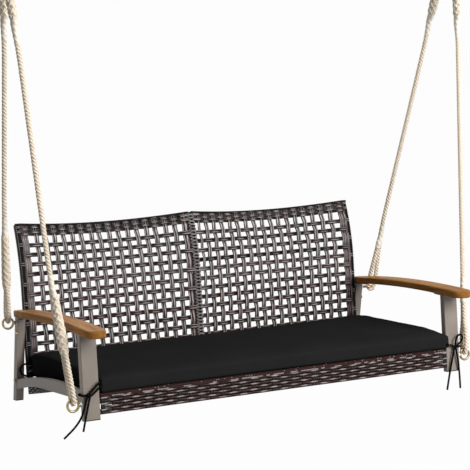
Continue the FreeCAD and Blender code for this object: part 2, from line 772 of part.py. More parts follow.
# Routes of the cushion ties, right-hand side positive, from the knot or the cushion outwards
tie_leads = {
    "left": [(581, -11, 111), (600, -9, 96), (618, -7, 77)],
    "right": [(581, -11, 88), (597, -9, 84), (610, -7, 78)],
}
second_lead = [(581, -11, 99), (597, -9.8, 83), (616.6, -7.8, 69.8)]
tie_knots = {"left": (622, -7.2, 73), "right": (613, -7.2, 76)}
tie_tails = {
    ("left", "long"): [(625.8, -8.3, 70), (636, -8, 39), (647, -6, 11), (664, -2, -11), (682, 3, -28),
                       (696, 6, -40)],
    ("left", "short"): [(618.5, -8.5, 69), (627, -8, 36), (635, -6, 5), (641, -2, -26)],
    ("right", "inner"): [(609.5, -8.5, 71.5), (600, -8, 38), (593, -5, 4), (588, -1, -26), (584, 3, -56)],
    ("right", "outer"): [(616.5, -8.5, 71.5), (622, -8, 38), (627, -5, 4), (631, -1, -26), (634, 3, -56)],
}
tie_bow = [(612.8, -10.8, 80.2), (613, -13, 103), (626, -14, 116), (641, -12, 112), (640, -10, 96),
           (629, -9, 86), (617.5, -9.5, 78.5)]
rear_tie = [(586, 506, 104), (597, 518, 110), (608, 536, 109), (614, 550, 99), (616, 555, 87), (613, 551, 77),
            (606, 537, 72), (597, 519, 73), (586, 506, 78)]


def cushion_ties():
    """Thin cords sewn to the cushion's corners and tied round the legs, with their knots, tails and bow."""
    clear = tie_diameter / 2 + tie_gap
    rear = front_leg_depth + clear
    corner = tie_corner
    for side, name in ((-1, "left"), (1, "right")):
        knot = Vector(side * tie_knots[name][0], *tie_knots[name][1:])
        ball = Part.makeSphere(tie_knot / 2, knot)
        outer = half + clear
        band = [(abs(knot.x), -clear, knot.z), (outer - corner, -clear, knot.z),
                (outer, corner - clear, knot.z), (outer, rear - corner, knot.z + 1),
                (outer - corner, rear, knot.z + 1),
                (front_inner + tie_tuck, rear, knot.z + 2)]
        tie = cord_tube(bench_path(band, side), tie_diameter, f"front_{name}_tie band")
        lead = cord_tube(bench_path(tie_leads[name], side), tie_diameter, f"front_{name}_tie lead")
        keep(f"front_{name}_tie", tie.fuse([lead, ball]).removeSplitter())
        for (where, which), points in tie_tails.items():
            if where == name:
                label = f"front_{name}_tie_tail_{which}"
                keep(label, cord_tube(bench_path(points, side), tie_diameter, label).cut(ball))
        extra, route = ("bow", tie_bow) if name == "right" else ("second_lead", second_lead)
        label = f"front_{name}_tie_{extra}"
        keep(label, cord_tube(bench_path(route, side), tie_diameter, label).cut(ball))
        keep(f"rear_{name}_tie", cord_tube(bench_path(rear_tie, side), tie_diameter, f"rear_{name}_tie"))


def rope_points(low, high, low_side, high_side, low_splice):
    """A rope's route: its tail beside the splice, round the lower wire, up, and the same at the upper bar."""
    up = (high - low).normalize()
    beside = rope_diameter / 2 + rope_gap / 2

    def eye(centre, along, side, wire, splice):
        tail_end, throat, joined, straight = splice
        wrap = wire / 2 + rope_diameter / 2 + rope_seat_gap
        table = [(-beside, tail_end), (-beside, throat), (-wrap - 0.2, eye_shoulder), (-wrap, -wrap),
                 (wrap, -wrap), (wrap + 0.2, eye_shoulder), (beside, throat), (beside, joined), (0, straight)]
        across = (side - along * side.dot(along)).normalize()
        return [centre + across * a + along * b for a, b in table]

    lower = eye(low, up, low_side, eye_wire, low_splice)
    return lower + eye(high, up * -1, high_side, link_rod, upper_splice)[::-1]


def ropes():
    """Four ropes, each with an eye spliced round its eye bolt below and its hanger bar above."""
    bar_z = -pin_below_ceiling - bar_below_pin
    across = (rope_diameter + rope_gap * 2) / 2
    depthwise = Vector(0, 1, 0)
    for end, spread_side in (("front", 1), ("rear", -1)):
        for side, name in ((-1, "left"), (1, "right")):
            out = Vector(side, 0, 0)
            level = (end, name) == level_eye
            reach = out if level else Vector(0, 0, 1)
            low = eye_face(end, side) + out * eye_stand_off + reach * eye_ring_radius
            low = hung_point(low.x, low.y, low.z)
            high = Vector(side * (hang_half_span + spread_side * across), 0, bar_z)
            points = rope_points(low, high, out if level else depthwise, depthwise, lower_splices[end, name])
            label = f"{end}_{name}_rope"
            print(label, "low", [round(c, 2) for c in low], "high", [round(c, 2) for c in high])
            keep_fixed(label, cord_tube(points, rope_diameter, label))


ceiling_fittings()
legs()
side_rails()
armrests()
eye_bolts()
seat_frame()
seat_panels()
back_frame()
back_weave()
frame_bolts()
cushion()
cushion_ties()
ropes()

for name, shape in nodes.items():
    shape.exportStep(f"parts/{name}.step")
print(len(nodes), "nodes")
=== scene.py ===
"""Looks of the hanging porch swing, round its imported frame: finishes, wicker, laid ropes, cushion and ties.

Bench sizes are in millimetres, in the bench's own square frame: X along the bench, Y from front to back and
Z up. HangFrame carries them into the row's frame, in metres.
"""
import json
import logging
import math
from dataclasses import dataclass
from enum import Enum
from typing import Any

import bmesh
import bpy
import numpy as np
from mathutils import Matrix, Vector

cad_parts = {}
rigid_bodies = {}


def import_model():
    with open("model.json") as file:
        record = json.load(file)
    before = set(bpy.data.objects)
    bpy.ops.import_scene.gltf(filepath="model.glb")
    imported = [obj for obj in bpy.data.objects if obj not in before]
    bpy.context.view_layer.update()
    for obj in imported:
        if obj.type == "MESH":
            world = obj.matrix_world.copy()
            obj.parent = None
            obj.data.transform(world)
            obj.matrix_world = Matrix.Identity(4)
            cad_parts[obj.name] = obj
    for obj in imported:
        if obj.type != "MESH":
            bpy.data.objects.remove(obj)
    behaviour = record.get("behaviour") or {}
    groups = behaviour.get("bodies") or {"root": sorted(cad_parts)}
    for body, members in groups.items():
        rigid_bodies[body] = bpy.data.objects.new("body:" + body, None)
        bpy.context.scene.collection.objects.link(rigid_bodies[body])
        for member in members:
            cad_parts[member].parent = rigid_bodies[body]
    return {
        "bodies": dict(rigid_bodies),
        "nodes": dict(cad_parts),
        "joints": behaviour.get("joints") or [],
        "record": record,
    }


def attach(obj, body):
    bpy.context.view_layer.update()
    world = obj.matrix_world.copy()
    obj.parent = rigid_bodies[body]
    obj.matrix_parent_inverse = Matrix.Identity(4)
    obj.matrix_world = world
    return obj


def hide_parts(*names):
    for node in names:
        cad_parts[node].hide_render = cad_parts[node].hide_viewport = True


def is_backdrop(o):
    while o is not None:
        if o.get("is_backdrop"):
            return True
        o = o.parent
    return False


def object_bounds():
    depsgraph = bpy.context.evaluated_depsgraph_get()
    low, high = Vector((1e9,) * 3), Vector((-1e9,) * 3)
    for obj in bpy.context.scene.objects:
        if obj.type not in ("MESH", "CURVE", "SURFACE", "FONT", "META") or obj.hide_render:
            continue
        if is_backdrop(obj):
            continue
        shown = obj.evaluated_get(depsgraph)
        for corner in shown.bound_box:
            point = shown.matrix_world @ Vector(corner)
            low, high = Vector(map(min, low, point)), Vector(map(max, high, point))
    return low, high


LOG = logging.getLogger("porch_swing")
SWING = "swing"
MM = 0.001


class Side(Enum):
    """An end of the bench, as seen from in front."""

    LEFT = -1
    RIGHT = 1

    @property
    def word(self) -> str:
        """The side's name as the nodes spell it."""
        return self.name.lower()


class End(Enum):
    """Whether a rope holds the front or the rear of the seat."""

    FRONT = 1
    REAR = -1

    @property
    def word(self) -> str:
        """The end's name as the nodes spell it."""
        return self.name.lower()


@dataclass(frozen=True)
class HangFrame:
    """How the bench hangs under its ceiling pivots.

    Bench points turn back about X by the tilt, then move behind and under the pivots.
    """

    tilt: float = math.radians(6.75)
    pivot_behind_front: float = 254.0
    ceiling_drop: float = 1476.0

    def hung(self, points: np.ndarray) -> np.ndarray:
        """Carries bench points into the row's frame.

        Args:
            points: Bench points in millimetres, with X, Y and Z last.

        Returns:
            The same points in row metres.
        """
        x, y, z = np.moveaxis(np.asarray(points, float), -1, 0)
        level = y * math.cos(self.tilt) + z * math.sin(self.tilt) - self.pivot_behind_front
        height = z * math.cos(self.tilt) - y * math.sin(self.tilt) - self.ceiling_drop
        return np.stack([x, level, height], -1) * MM


HANG = HangFrame()


@dataclass(frozen=True)
class BackForm:
    """The back's surface: upright at first, then leaning on an arc, with one shallow scoop in each half."""

    front_y: float = 532.0
    bottom_z: float = 66.0
    straight: float = 264.0
    lean_radius: float = 630.0
    length: float = 475.0
    scoop: float = 40.0
    post_inner: float = 579.3
    post_centre: float = 9.0

    def place(self, x: np.ndarray, along: np.ndarray, depth: np.ndarray) -> np.ndarray:
        """Points on or off the back.

        The lean grows with the length past the straight part. The scoop is a parabola across each half, and
        it grows from nothing at the foot to its full depth at the top.

        Args:
            x: Distance along the bench from its middle.
            along: Length up the back from its foot.
            depth: Distance behind the back's front surface.

        Returns:
            Bench points, with X, Y and Z last.
        """
        x, along, depth = np.broadcast_arrays(x, along, depth)
        lean = np.maximum(0.0, along - self.straight) / self.lean_radius
        y = self.front_y + self.lean_radius * (1 - np.cos(lean))
        z = self.bottom_z + np.minimum(along, self.straight) + self.lean_radius * np.sin(lean)
        across = np.clip((self.post_inner - np.abs(x)) / (self.post_inner - self.post_centre), 0, 1)
        off = depth + self.scoop * along / self.length * 4 * across * (1 - across)
        return np.stack([x, y + off * np.cos(lean), z - off * np.sin(lean)], -1)


class NodeTree:
    """The nodes of a new material or world, with short calls to add and join them."""

    def __init__(self, owner: bpy.types.Material | bpy.types.World,
                 surface: str = "Principled BSDF") -> None:
        """Starts from the shader that the owner comes with.

        Args:
            owner: The new material or world.
            surface: Name of its shader node.
        """
        owner.use_nodes = True
        self.owner = owner
        self.tree = owner.node_tree
        self.surface = self.tree.nodes[surface]

    def feed(self, socket: bpy.types.NodeSocket, value: Any) -> None:
        """Links an output to a socket, or sets the socket's own value.

        Args:
            socket: The input to feed.
            value: An output or a plain value.
        """
        if isinstance(value, bpy.types.NodeSocket):
            self.tree.links.new(value, socket)
        else:
            socket.default_value = value

    def add(self, kind: str, inputs: dict[str | int, Any] | None = None, **settings: Any) -> bpy.types.Node:
        """Adds a shader node.

        Args:
            kind: The node's type without its ShaderNode prefix.
            inputs: Values or outputs for its input sockets, by socket name or number.
            settings: The node's own properties.

        Returns:
            The node.
        """
        node = self.tree.nodes.new("ShaderNode" + kind)
        for key, value in settings.items():
            setattr(node, key, value)
        for key, value in (inputs or {}).items():
            self.feed(node.inputs[key], value)
        return node

    def paint(self, **sockets: Any) -> None:
        """Feeds the surface shader; a socket's name has its spaces written as underscores."""
        for key, value in sockets.items():
            self.feed(self.surface.inputs[key.replace("_", " ")], value)

    def math(self, operation: str, first: Any, second: Any = 0.0) -> bpy.types.NodeSocket:
        """One sum on two numbers."""
        return self.add("Math", {0: first, 1: second}, operation=operation).outputs[0]

    def mix(self, share: Any, first: Any, second: Any) -> bpy.types.NodeSocket:
        """One mix of two colours."""
        return self.add("Mix", {0: share, 6: first, 7: second}, data_type="RGBA").outputs[2]

    def ramp(self, share: Any, stops: list[tuple[float, tuple[float, ...]]]) -> bpy.types.NodeSocket:
        """A colour read from a ramp.

        Args:
            share: Where to read it, from 0 to 1.
            stops: Places and colours of its stops.

        Returns:
            The colour's output.
        """
        node = self.add("ValToRGB", {"Fac": share})
        elements = node.color_ramp.elements
        while len(elements) < len(stops):
            elements.new(0.5)
        for element, (place, colour) in zip(elements, stops):
            element.position = place
            element.color = (*colour, 1.0)
        return node.outputs["Color"]

    def span(self, share: Any, low: float = 0.0, high: float = 1.0, start: float = 0.0,
             stop: float = 1.0) -> bpy.types.NodeSocket:
        """A number carried from one span to another, and held at its ends.

        Args:
            share: The number.
            low: What the start becomes.
            high: What the stop becomes.
            start: Start of the number's own span.
            stop: Stop of the number's own span.

        Returns:
            The carried number's output.
        """
        inputs = {"Value": share, "From Min": start, "From Max": stop, "To Min": low, "To Max": high}
        return self.add("MapRange", inputs).outputs["Result"]

    def stretch(self, vector: Any, scale: tuple[float, float, float],
                turn: float = 0.0) -> bpy.types.NodeSocket:
        """Coordinates turned about X and scaled."""
        return self.add("Mapping", {"Vector": vector, "Rotation": (turn, 0, 0), "Scale": scale}).outputs[0]

    def place(self, scale: tuple[float, float, float] = (1, 1, 1),
              turn: float = 0.0) -> bpy.types.NodeSocket:
        """Object coordinates, turned about X and scaled."""
        return self.stretch(self.add("TexCoord").outputs["Object"], scale, turn)

    def axis(self, vector: Any, letter: str) -> bpy.types.NodeSocket:
        """One axis of a vector."""
        return self.add("SeparateXYZ", {"Vector": vector}).outputs[letter]

    def run(self) -> bpy.types.NodeSocket:
        """A swept piece's UV map: the length along a tube and the turn round it."""
        return self.add("UVMap", uv_map="run").outputs["UV"]

    def attribute(self, name: str) -> bpy.types.NodeSocket:
        """A number that a piece carries at its points."""
        return self.add("Attribute", attribute_name=name).outputs["Fac"]

    def noise(self, vector: Any, scale: float, detail: float = 3.0) -> bpy.types.NodeSocket:
        """A noise texture's number."""
        return self.add("TexNoise", {"Vector": vector, "Scale": scale, "Detail": detail}).outputs["Fac"]

    def bump(self, height: Any, strength: float, distance: float) -> bpy.types.NodeSocket:
        """A bumped normal."""
        node = self.add("Bump", {"Height": height, "Strength": strength, "Distance": distance})
        return node.outputs["Normal"]

    def seen(self) -> bpy.types.NodeSocket:
        """One for rays from the camera, straight or by way of a mirror or glass, and zero for the rest.

        Returns:
            The number's output.
        """
        path = self.add("LightPath")
        bent = self.math("MAXIMUM", path.outputs["Is Glossy Ray"], path.outputs["Is Transmission Ray"])
        return self.math("MAXIMUM", path.outputs["Is Camera Ray"], bent)


@dataclass(frozen=True)
class Finish:
    """A surface finish, painted once as a node material."""

    name: str

    def material(self) -> bpy.types.Material:
        """The finish's material, made on first use.

        Returns:
            The material.
        """
        found = bpy.data.materials.get(self.name)
        if found:
            return found
        tree = NodeTree(bpy.data.materials.new(self.name))
        self.paint(tree)
        return tree.owner

    def paint(self, tree: NodeTree) -> None:
        """Lays the finish out as nodes."""
        raise NotImplementedError


@dataclass(frozen=True)
class PowderCoat(Finish):
    """Satin powder coat on steel, with a fine orange peel and a little dust."""

    colour: tuple[float, float, float]
    roughness: float = 0.42

    def paint(self, tree: NodeTree) -> None:
        """Speckled colour, uneven satin and a fine bump.

        Args:
            tree: Where the nodes go.
        """
        where = tree.place()
        cloud = tree.noise(where, 9.0)
        speckle = tree.noise(where, 1400.0, 2.0)
        dusty = tuple(c * 1.2 for c in self.colour)
        deep = tuple(c * 0.88 for c in self.colour)
        base = tree.ramp(cloud, [(0.32, deep), (0.68, dusty)])
        base = tree.mix(0.12, base, tree.ramp(speckle, [(0.35, deep), (0.65, dusty)]))
        rough = tree.span(cloud, self.roughness - 0.06, self.roughness + 0.1)
        tree.paint(Base_Color=base, Roughness=rough, Specular_IOR_Level=0.35,
                   Normal=tree.bump(speckle, 0.12, 0.0004))


@dataclass(frozen=True)
class OiledWood(Finish):
    """Oiled hardwood with its grain along the armrest and paler ends."""

    pale_tip: float = -0.289
    tip_blend: float = 0.02

    def paint(self, tree: NodeTree) -> None:
        """Long growth bands, short pores and a lighter end where the grain is cut across.

        Args:
            tree: Where the nodes go.
        """
        along = tree.place(turn=HANG.tilt)
        figure = tree.noise(tree.stretch(along, (34.0, 2.2, 46.0)), 2.4, 5.0)
        pore = tree.noise(tree.stretch(along, (900.0, 26.0, 900.0)), 1.0, 2.0)
        base = tree.ramp(figure, [(0.28, (0.195, 0.080, 0.019)), (0.46, (0.365, 0.161, 0.041)),
                                  (0.60, (0.465, 0.223, 0.063)), (0.76, (0.288, 0.123, 0.031))])
        base = tree.mix(tree.span(pore, 0.0, 0.45), base, (0.070, 0.028, 0.008, 1))
        depth = tree.axis(tree.place(), "Y")
        tip = tree.span(depth, start=self.pale_tip, stop=self.pale_tip - self.tip_blend)
        pale = tree.ramp(figure, [(0.3, (0.215, 0.090, 0.018)), (0.7, (0.315, 0.140, 0.035))])
        base = tree.mix(tip, base, pale)
        height = tree.math("ADD", tree.math("MULTIPLY", figure, 0.5), pore)
        tree.paint(Base_Color=base, Roughness=tree.span(pore, 0.40, 0.62), Specular_IOR_Level=0.05,
                   Normal=tree.bump(height, 0.25, 0.0006))


@dataclass(frozen=True)
class ResinWicker(Finish):
    """Grooved resin strand: dark brown with painted highlight streaks on its two ridges, each strand a little
    different.

    The ridge lies a share of a turn off the groove, and its painted highlight streak fades between the two
    widths.
    """

    ridge: float = 0.085
    ridge_width: float = 0.06
    ridge_core: float = 0.02

    def paint(self, tree: NodeTree) -> None:
        """Tone and painted light from the strand's attributes, ridges and breaks in the painted highlight
        streaks from its UV map.

        Args:
            tree: Where the nodes go.
        """
        painted_light = tree.attribute("painted_light")
        run = tree.run()
        half_turn = tree.math("MODULO", tree.axis(run, "Y"), 0.5)
        off_groove = tree.math("ABSOLUTE", tree.math("SUBTRACT", half_turn, 0.25))
        off_ridge = tree.math("ABSOLUTE", tree.math("SUBTRACT", off_groove, self.ridge))
        ridge = tree.span(off_ridge, start=self.ridge_width, stop=self.ridge_core)
        streak = tree.noise(tree.stretch(run, (11.0, 9.0, 1.0)), 3.0, 4.0)
        broken = tree.span(streak, 0.12, 1.0, 0.36, 0.54)
        # Painted highlight: pale streaks on the ridges, broken by noise and scaled by the painted light.
        share = tree.math("MULTIPLY", tree.math("MULTIPLY", ridge, broken), tree.span(painted_light))
        base = tree.ramp(tree.attribute("tone"),
                         [(0.0, (0.0036, 0.0030, 0.0030)), (0.40, (0.0085, 0.0046, 0.0042)),
                          (0.72, (0.0285, 0.0088, 0.0076)), (1.0, (0.0240, 0.0215, 0.0208))])
        # Painted highlight: painted light from one to two greys the strand, then the pale streak colour goes
        # on.
        base = tree.mix(tree.span(painted_light, 0.0, 0.6, 1.0, 2.0), base, (0.080, 0.074, 0.072, 1))
        base = tree.mix(share, base, (0.54, 0.494, 0.478, 1))
        fine = tree.noise(tree.stretch(run, (60.0, 130.0, 1.0)), 1.0, 2.0)
        height = tree.math("ADD", streak, tree.math("MULTIPLY", fine, 0.6))
        tree.paint(Base_Color=base, Roughness=tree.span(streak, 0.32, 0.46), Specular_IOR_Level=0.04,
                   Normal=tree.bump(height, 0.25, 0.0004))


@dataclass(frozen=True)
class LaidRope(Finish):
    """Cream rope strand whose yarns run slantwise round it."""

    colour: tuple[float, float, float] = (0.89, 0.785, 0.645)
    yarn_pitch: float = 0.0062
    yarns: float = 7.0
    # Strength of the painted shade in the creases between strands.
    crease: float = 0.8

    def paint(self, tree: NodeTree) -> None:
        """Yarn furrows as a sine of run and turn, painted shade in the furrows and brown painted shade in the
        creases between strands, and a soft sheen.

        Args:
            tree: Where the nodes go.
        """
        run = tree.run()
        turn = tree.axis(run, "Y")
        slant = tree.math("ADD", tree.math("MULTIPLY", tree.axis(run, "X"), 2 * math.pi / self.yarn_pitch),
                          tree.math("MULTIPLY", turn, 2 * math.pi * self.yarns))
        where = tree.place()
        fuzz = tree.noise(where, 1500.0, 3.0)
        blotch = tree.noise(where, 42.0, 4.0)
        furrow = tree.span(tree.math("SINE", slant), start=-1.0)
        height = tree.math("ADD", furrow, tree.math("MULTIPLY", fuzz, 0.8))
        shade = tuple(c * k for c, k in zip(self.colour, (0.74, 0.67, 0.56)))
        pale = tuple(min(1.0, c * 1.08 + 0.02) for c in self.colour)
        base = tree.ramp(blotch, [(0.34, self.colour), (0.66, pale)])
        # Painted shade darkens the yarn furrows.
        base = tree.mix(tree.span(furrow, 0.30, 0.0), base, (*shade, 1))
        # Painted shade browns the creases where the strands meet, away from their outer faces.
        inward = tree.math("MINIMUM", turn, tree.math("SUBTRACT", 1.0, turn))
        base = tree.mix(tree.span(inward, 0.0, self.crease, 0.13, 0.24), base, (0.46, 0.30, 0.165, 1))
        tree.paint(Base_Color=base, Roughness=0.88, Sheen_Weight=0.25,
                   Normal=tree.bump(height, 0.45, 0.0007))


@dataclass(frozen=True)
class WovenCloth(Finish):
    """Black plain-woven cloth: crossed threads as sines, with lint and slow fading."""

    colour: tuple[float, float, float] = (0.0157, 0.0157, 0.0159)
    thread: float = 0.0011

    def paint(self, tree: NodeTree) -> None:
        """Threads across and along, faded colour and a little lint.

        Args:
            tree: Where the nodes go.
        """
        where = tree.place(turn=HANG.tilt)
        beat = 2 * math.pi / self.thread
        weft = tree.math("SINE", tree.math("MULTIPLY", tree.axis(where, "X"), beat))
        up = tree.math("ADD", tree.axis(where, "Y"), tree.axis(where, "Z"))
        warp = tree.math("SINE", tree.math("MULTIPLY", up, beat))
        fade = tree.noise(where, 7.0, 3.0)
        lint = tree.noise(where, 420.0, 2.0)
        worn = tuple(c * 1.2 for c in self.colour)
        base = tree.ramp(fade, [(0.3, self.colour), (0.75, worn)])
        base = tree.mix(tree.span(lint, 0.0, 0.12), base, (0.026, 0.026, 0.027, 1))
        height = tree.math("ADD", tree.math("MULTIPLY", weft, warp), tree.math("MULTIPLY", lint, 0.7))
        tree.paint(Base_Color=base, Roughness=tree.span(fade, 0.62, 0.78), Specular_IOR_Level=0.0,
                   Normal=tree.bump(height, 0.16, 0.0003))


@dataclass(frozen=True)
class PlatedSteel(Finish):
    """Zinc-plated steel, bright or yellow, with slight staining."""

    colour: tuple[float, float, float]
    stain: tuple[float, float, float]
    roughness: float = 0.30

    def paint(self, tree: NodeTree) -> None:
        """Stained metal with small scratches.

        Args:
            tree: Where the nodes go.
        """
        cloud = tree.noise(tree.place(), 120.0, 3.0)
        scratch = tree.noise(tree.place((1500, 200, 900)), 1.0, 2.0)
        base = tree.ramp(cloud, [(0.35, self.stain), (0.65, self.colour)])
        rough = tree.span(scratch, self.roughness - 0.08, self.roughness + 0.14)
        tree.paint(Base_Color=base, Roughness=rough, Metallic=1.0, Normal=tree.bump(scratch, 0.1, 0.0002))


TAUPE = PowderCoat("taupe_powder_coat", (0.238, 0.202, 0.173))
WOOD = OiledWood("oiled_armrest_wood")
WICKER = ResinWicker("dark_resin_wicker")
ROPE = LaidRope("cream_laid_rope")
# The whipping twine has no painted crease shade, the splice strands a lighter one.
WHIPPING = LaidRope("whipping_twine", (0.88, 0.81, 0.69), 0.0040, 3.0, 0.0)
SPLICE = LaidRope("splice_strands", crease=0.35)
CUSHION_CLOTH = WovenCloth("black_cushion_cloth")
TIE_CLOTH = WovenCloth("black_tie_cord", (0.0050, 0.0050, 0.0051), 0.0009)
BRIGHT_ZINC = PlatedSteel("bright_zinc_plate", (0.62, 0.61, 0.58), (0.42, 0.40, 0.37))
YELLOW_ZINC = PlatedSteel("yellow_zinc_plate", (0.40, 0.31, 0.165), (0.22, 0.165, 0.085))
BLACK_STEEL = PlatedSteel("blackened_steel", (0.075, 0.07, 0.066), (0.04, 0.037, 0.035), 0.42)
TUBE_PAINT = PowderCoat("black_tube_paint", (0.0085, 0.0072, 0.0070), 0.5)
CAP_PLASTIC = PowderCoat("black_cap_plastic", (0.022, 0.021, 0.020), 0.5)

DRESSED_NODES: dict[str, Finish] = {
    "hanger_steel": TAUPE,
    "bright_zinc": BRIGHT_ZINC,
    "yellow_zinc": YELLOW_ZINC,
    "frame_paint": TAUPE,
    "light_tube": TUBE_PAINT,
    "foot_plastic": CAP_PLASTIC,
    "wood": WOOD,
    "dark_fastener": BLACK_STEEL,
    "wicker": WICKER,
}


def linked(name: str, data: bpy.types.ID) -> bpy.types.Object:
    """A new object of some data, linked to the scene.

    Args:
        name: Name of the object.
        data: Its mesh, curve, lamp or camera.

    Returns:
        The object.
    """
    holder = bpy.data.objects.new(name, data)
    bpy.context.scene.collection.objects.link(holder)
    return holder


def mesh_points(mesh: bpy.types.Mesh) -> np.ndarray:
    """A mesh's points.

    Args:
        mesh: The mesh.

    Returns:
        Its points, one row each.
    """
    points = np.zeros(len(mesh.vertices) * 3)
    mesh.vertices.foreach_get("co", points)
    return points.reshape(-1, 3)


def move_points(mesh: bpy.types.Mesh, points: np.ndarray) -> None:
    """Puts a mesh's points in new places."""
    mesh.vertices.foreach_set("co", points.astype(np.float32).ravel())


def sweep_faces(count: int, rings: int, sides: int, loop: bool) -> tuple[np.ndarray, np.ndarray, np.ndarray]:
    """Quads of several tubes, each a stack of rings of points.

    A side quad joins two neighbours of one ring to the same two of the next. A flat end is closed by quads
    that join opposite points of the ring, so the number of sides is even.

    Args:
        count: Number of tubes.
        rings: Rings in each tube.
        sides: Points in each ring.
        loop: Whether the last ring joins the first again, in place of two closed ends.

    Returns:
        Point numbers of each quad, and the ring and the side of each corner, before they wrap round.
    """
    ring, side = np.meshgrid(np.arange(rings if loop else rings - 1), np.arange(sides), indexing="ij")
    ring_corner = np.stack([ring, ring, ring + 1, ring + 1], -1).reshape(-1, 4)
    side_corner = np.stack([side, side + 1, side + 1, side], -1).reshape(-1, 4)
    if not loop:
        step = np.arange(sides // 2 - 1)
        cap = np.stack([step, sides - 1 - step, sides - 2 - step, step + 1], -1)
        ring_corner = np.concatenate([ring_corner, np.zeros_like(cap), np.full_like(cap, rings - 1)])
        side_corner = np.concatenate([side_corner, cap, cap[:, ::-1]])
    quads = (ring_corner % rings) * sides + side_corner % sides
    shift = np.arange(count)[:, None, None] * rings * sides
    numbers = (quads[None] + shift).reshape(-1, 4)
    return numbers, np.tile(ring_corner, (count, 1)), np.tile(side_corner, (count, 1))


def mesh_object(name: str, points: np.ndarray, quads: np.ndarray, finish: Finish) -> bpy.types.Object:
    """A smooth object from points and quads.

    Args:
        name: Name of the piece.
        points: Points in row metres, one row each.
        quads: Four point numbers for each face.
        finish: Finish of the whole piece.

    Returns:
        The object, linked to the scene.
    """
    mesh = bpy.data.meshes.new(name)
    mesh.vertices.add(len(points))
    move_points(mesh, points)
    mesh.loops.add(quads.size)
    mesh.loops.foreach_set("vertex_index", quads.astype(np.int32).ravel())
    mesh.polygons.add(len(quads))
    mesh.polygons.foreach_set("loop_start", np.arange(0, quads.size, 4, dtype=np.int32))
    mesh.polygons.foreach_set("use_smooth", np.ones(len(quads), bool))
    mesh.update(calc_edges=True)
    mesh.materials.append(finish.material())
    return linked(name, mesh)


def face_outwards(mesh: bpy.types.Mesh) -> None:
    """Turns every face of a closed mesh outwards.

    Args:
        mesh: The mesh.
    """
    work = bmesh.new()
    work.from_mesh(mesh)
    bmesh.ops.recalc_face_normals(work, faces=work.faces)
    work.to_mesh(mesh)
    work.free()


def swept_piece(name: str, points: np.ndarray, finish: Finish, run: np.ndarray | None = None,
                tone: np.ndarray | float = 0.0, painted_light: np.ndarray | float = 0.5,
                loop: bool = False) -> bpy.types.Object:
    """A piece made of tubes, with a UV map of run and turn, a tone for each tube and painted light for each
    ring.

    Args:
        name: Name of the piece.
        points: Points in row metres, shaped tubes, rings, sides, 3.
        finish: Finish of the piece.
        run: Length along each tube at its rings, in metres, or None to measure it from the points.
        tone: A number from 0 to 1 for each tube or all.
        painted_light: How strongly the painted highlight streaks show, up to 1, and how far the strand greys
            as a painted highlight, from 1 to 2, for each ring or all.
        loop: Whether each tube closes on itself.

    Returns:
        The object.
    """
    count, rings, sides = points.shape[:3]
    if run is None:
        steps = np.linalg.norm(np.diff(points.mean(2), axis=1), axis=-1)
        run = np.concatenate([np.zeros((count, 1)), np.cumsum(steps, 1)], 1)
    quads, ring_corner, side_corner = sweep_faces(count, rings, sides, loop)
    piece = mesh_object(name, points.reshape(-1, 3), quads, finish)
    mesh = piece.data
    tube = np.repeat(np.arange(count), len(quads) // count)[:, None]
    long = np.concatenate([run, run[:, -1:] * 2 - run[:, -2:-1]], 1)
    uv = np.stack([long[tube, ring_corner], side_corner / sides], -1)
    mesh.uv_layers.new(name="run").data.foreach_set("uv", uv.astype(np.float32).ravel())
    for label, carried in (("tone", np.reshape(tone, (-1, 1))), ("painted_light", painted_light)):
        values = np.repeat(np.broadcast_to(carried, (count, rings)), sides).astype(np.float32)
        mesh.attributes.new(label, "FLOAT", "POINT").data.foreach_set("value", values)
    face_outwards(mesh)
    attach(piece, SWING)
    LOG.info("%s: %d faces", name, len(quads))
    return piece


def wicker_piece(name: str, points: np.ndarray, tone: np.ndarray | float, painted_light: np.ndarray | float = 0.5,
                 node: str = "") -> None:
    """Builds a piece of wicker strands, in place of a plain solid where it names one.

    Args:
        name: Name of the piece.
        points: Bench points, shaped tubes, rings, sides, 3.
        tone: A number from 0 to 1 for each tube or all.
        painted_light: Painted highlight streaks and greying for each ring or all.
        node: The node that it stands for, if any.
    """
    piece = swept_piece(name, HANG.hung(points), WICKER, tone=tone, painted_light=painted_light)
    if node:
        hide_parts(node)


def tones(rng: np.random.Generator, middle: np.ndarray | float, spread: float, count: int,
          most: float = 1.0) -> np.ndarray:
    """Tones of several strands, scattered round a middle one and held between 0 and the most."""
    return np.clip(rng.normal(middle, spread, count), 0, most)


def ridges(along: np.ndarray, pitch: float, depth: float) -> np.ndarray:
    """How full a wound sleeve is at each place: one, less a cosine's height that returns at every strand."""
    return 1 - depth * np.abs(np.cos(math.pi * along / pitch))[:, None]


def grid(x: np.ndarray, y: np.ndarray, z: np.ndarray) -> np.ndarray:
    """Points from places on three axes, carried to one shape."""
    return np.stack(np.broadcast_arrays(x, y, z), -1)


def strand_profile(sides: int) -> np.ndarray:
    """A grooved strand's section, one wide and one thick: a flat oval whose thickness dips at its middle.

    Args:
        sides: Number of points round it.

    Returns:
        Places across and through the strand, as two columns.
    """
    turn = 2 * math.pi * (np.arange(sides) + 0.5) / sides
    across = np.sign(np.cos(turn)) * np.abs(np.cos(turn)) ** 0.8
    through = np.sign(np.sin(turn)) * np.abs(np.sin(turn)) ** 0.55
    groove = 1 - 0.42 * np.exp(-(across / 0.24) ** 2)
    return np.stack([across, through * groove], -1) / 2


def box_profile(sides: int, power: float = 5.0) -> np.ndarray:
    """A square with rounded corners, two wide: a superellipse of the given power."""
    turn = 2 * math.pi * (np.arange(sides) + 0.5) / sides
    return np.stack([np.sign(f(turn)) * np.abs(f(turn)) ** (2 / power) for f in (np.cos, np.sin)], -1)


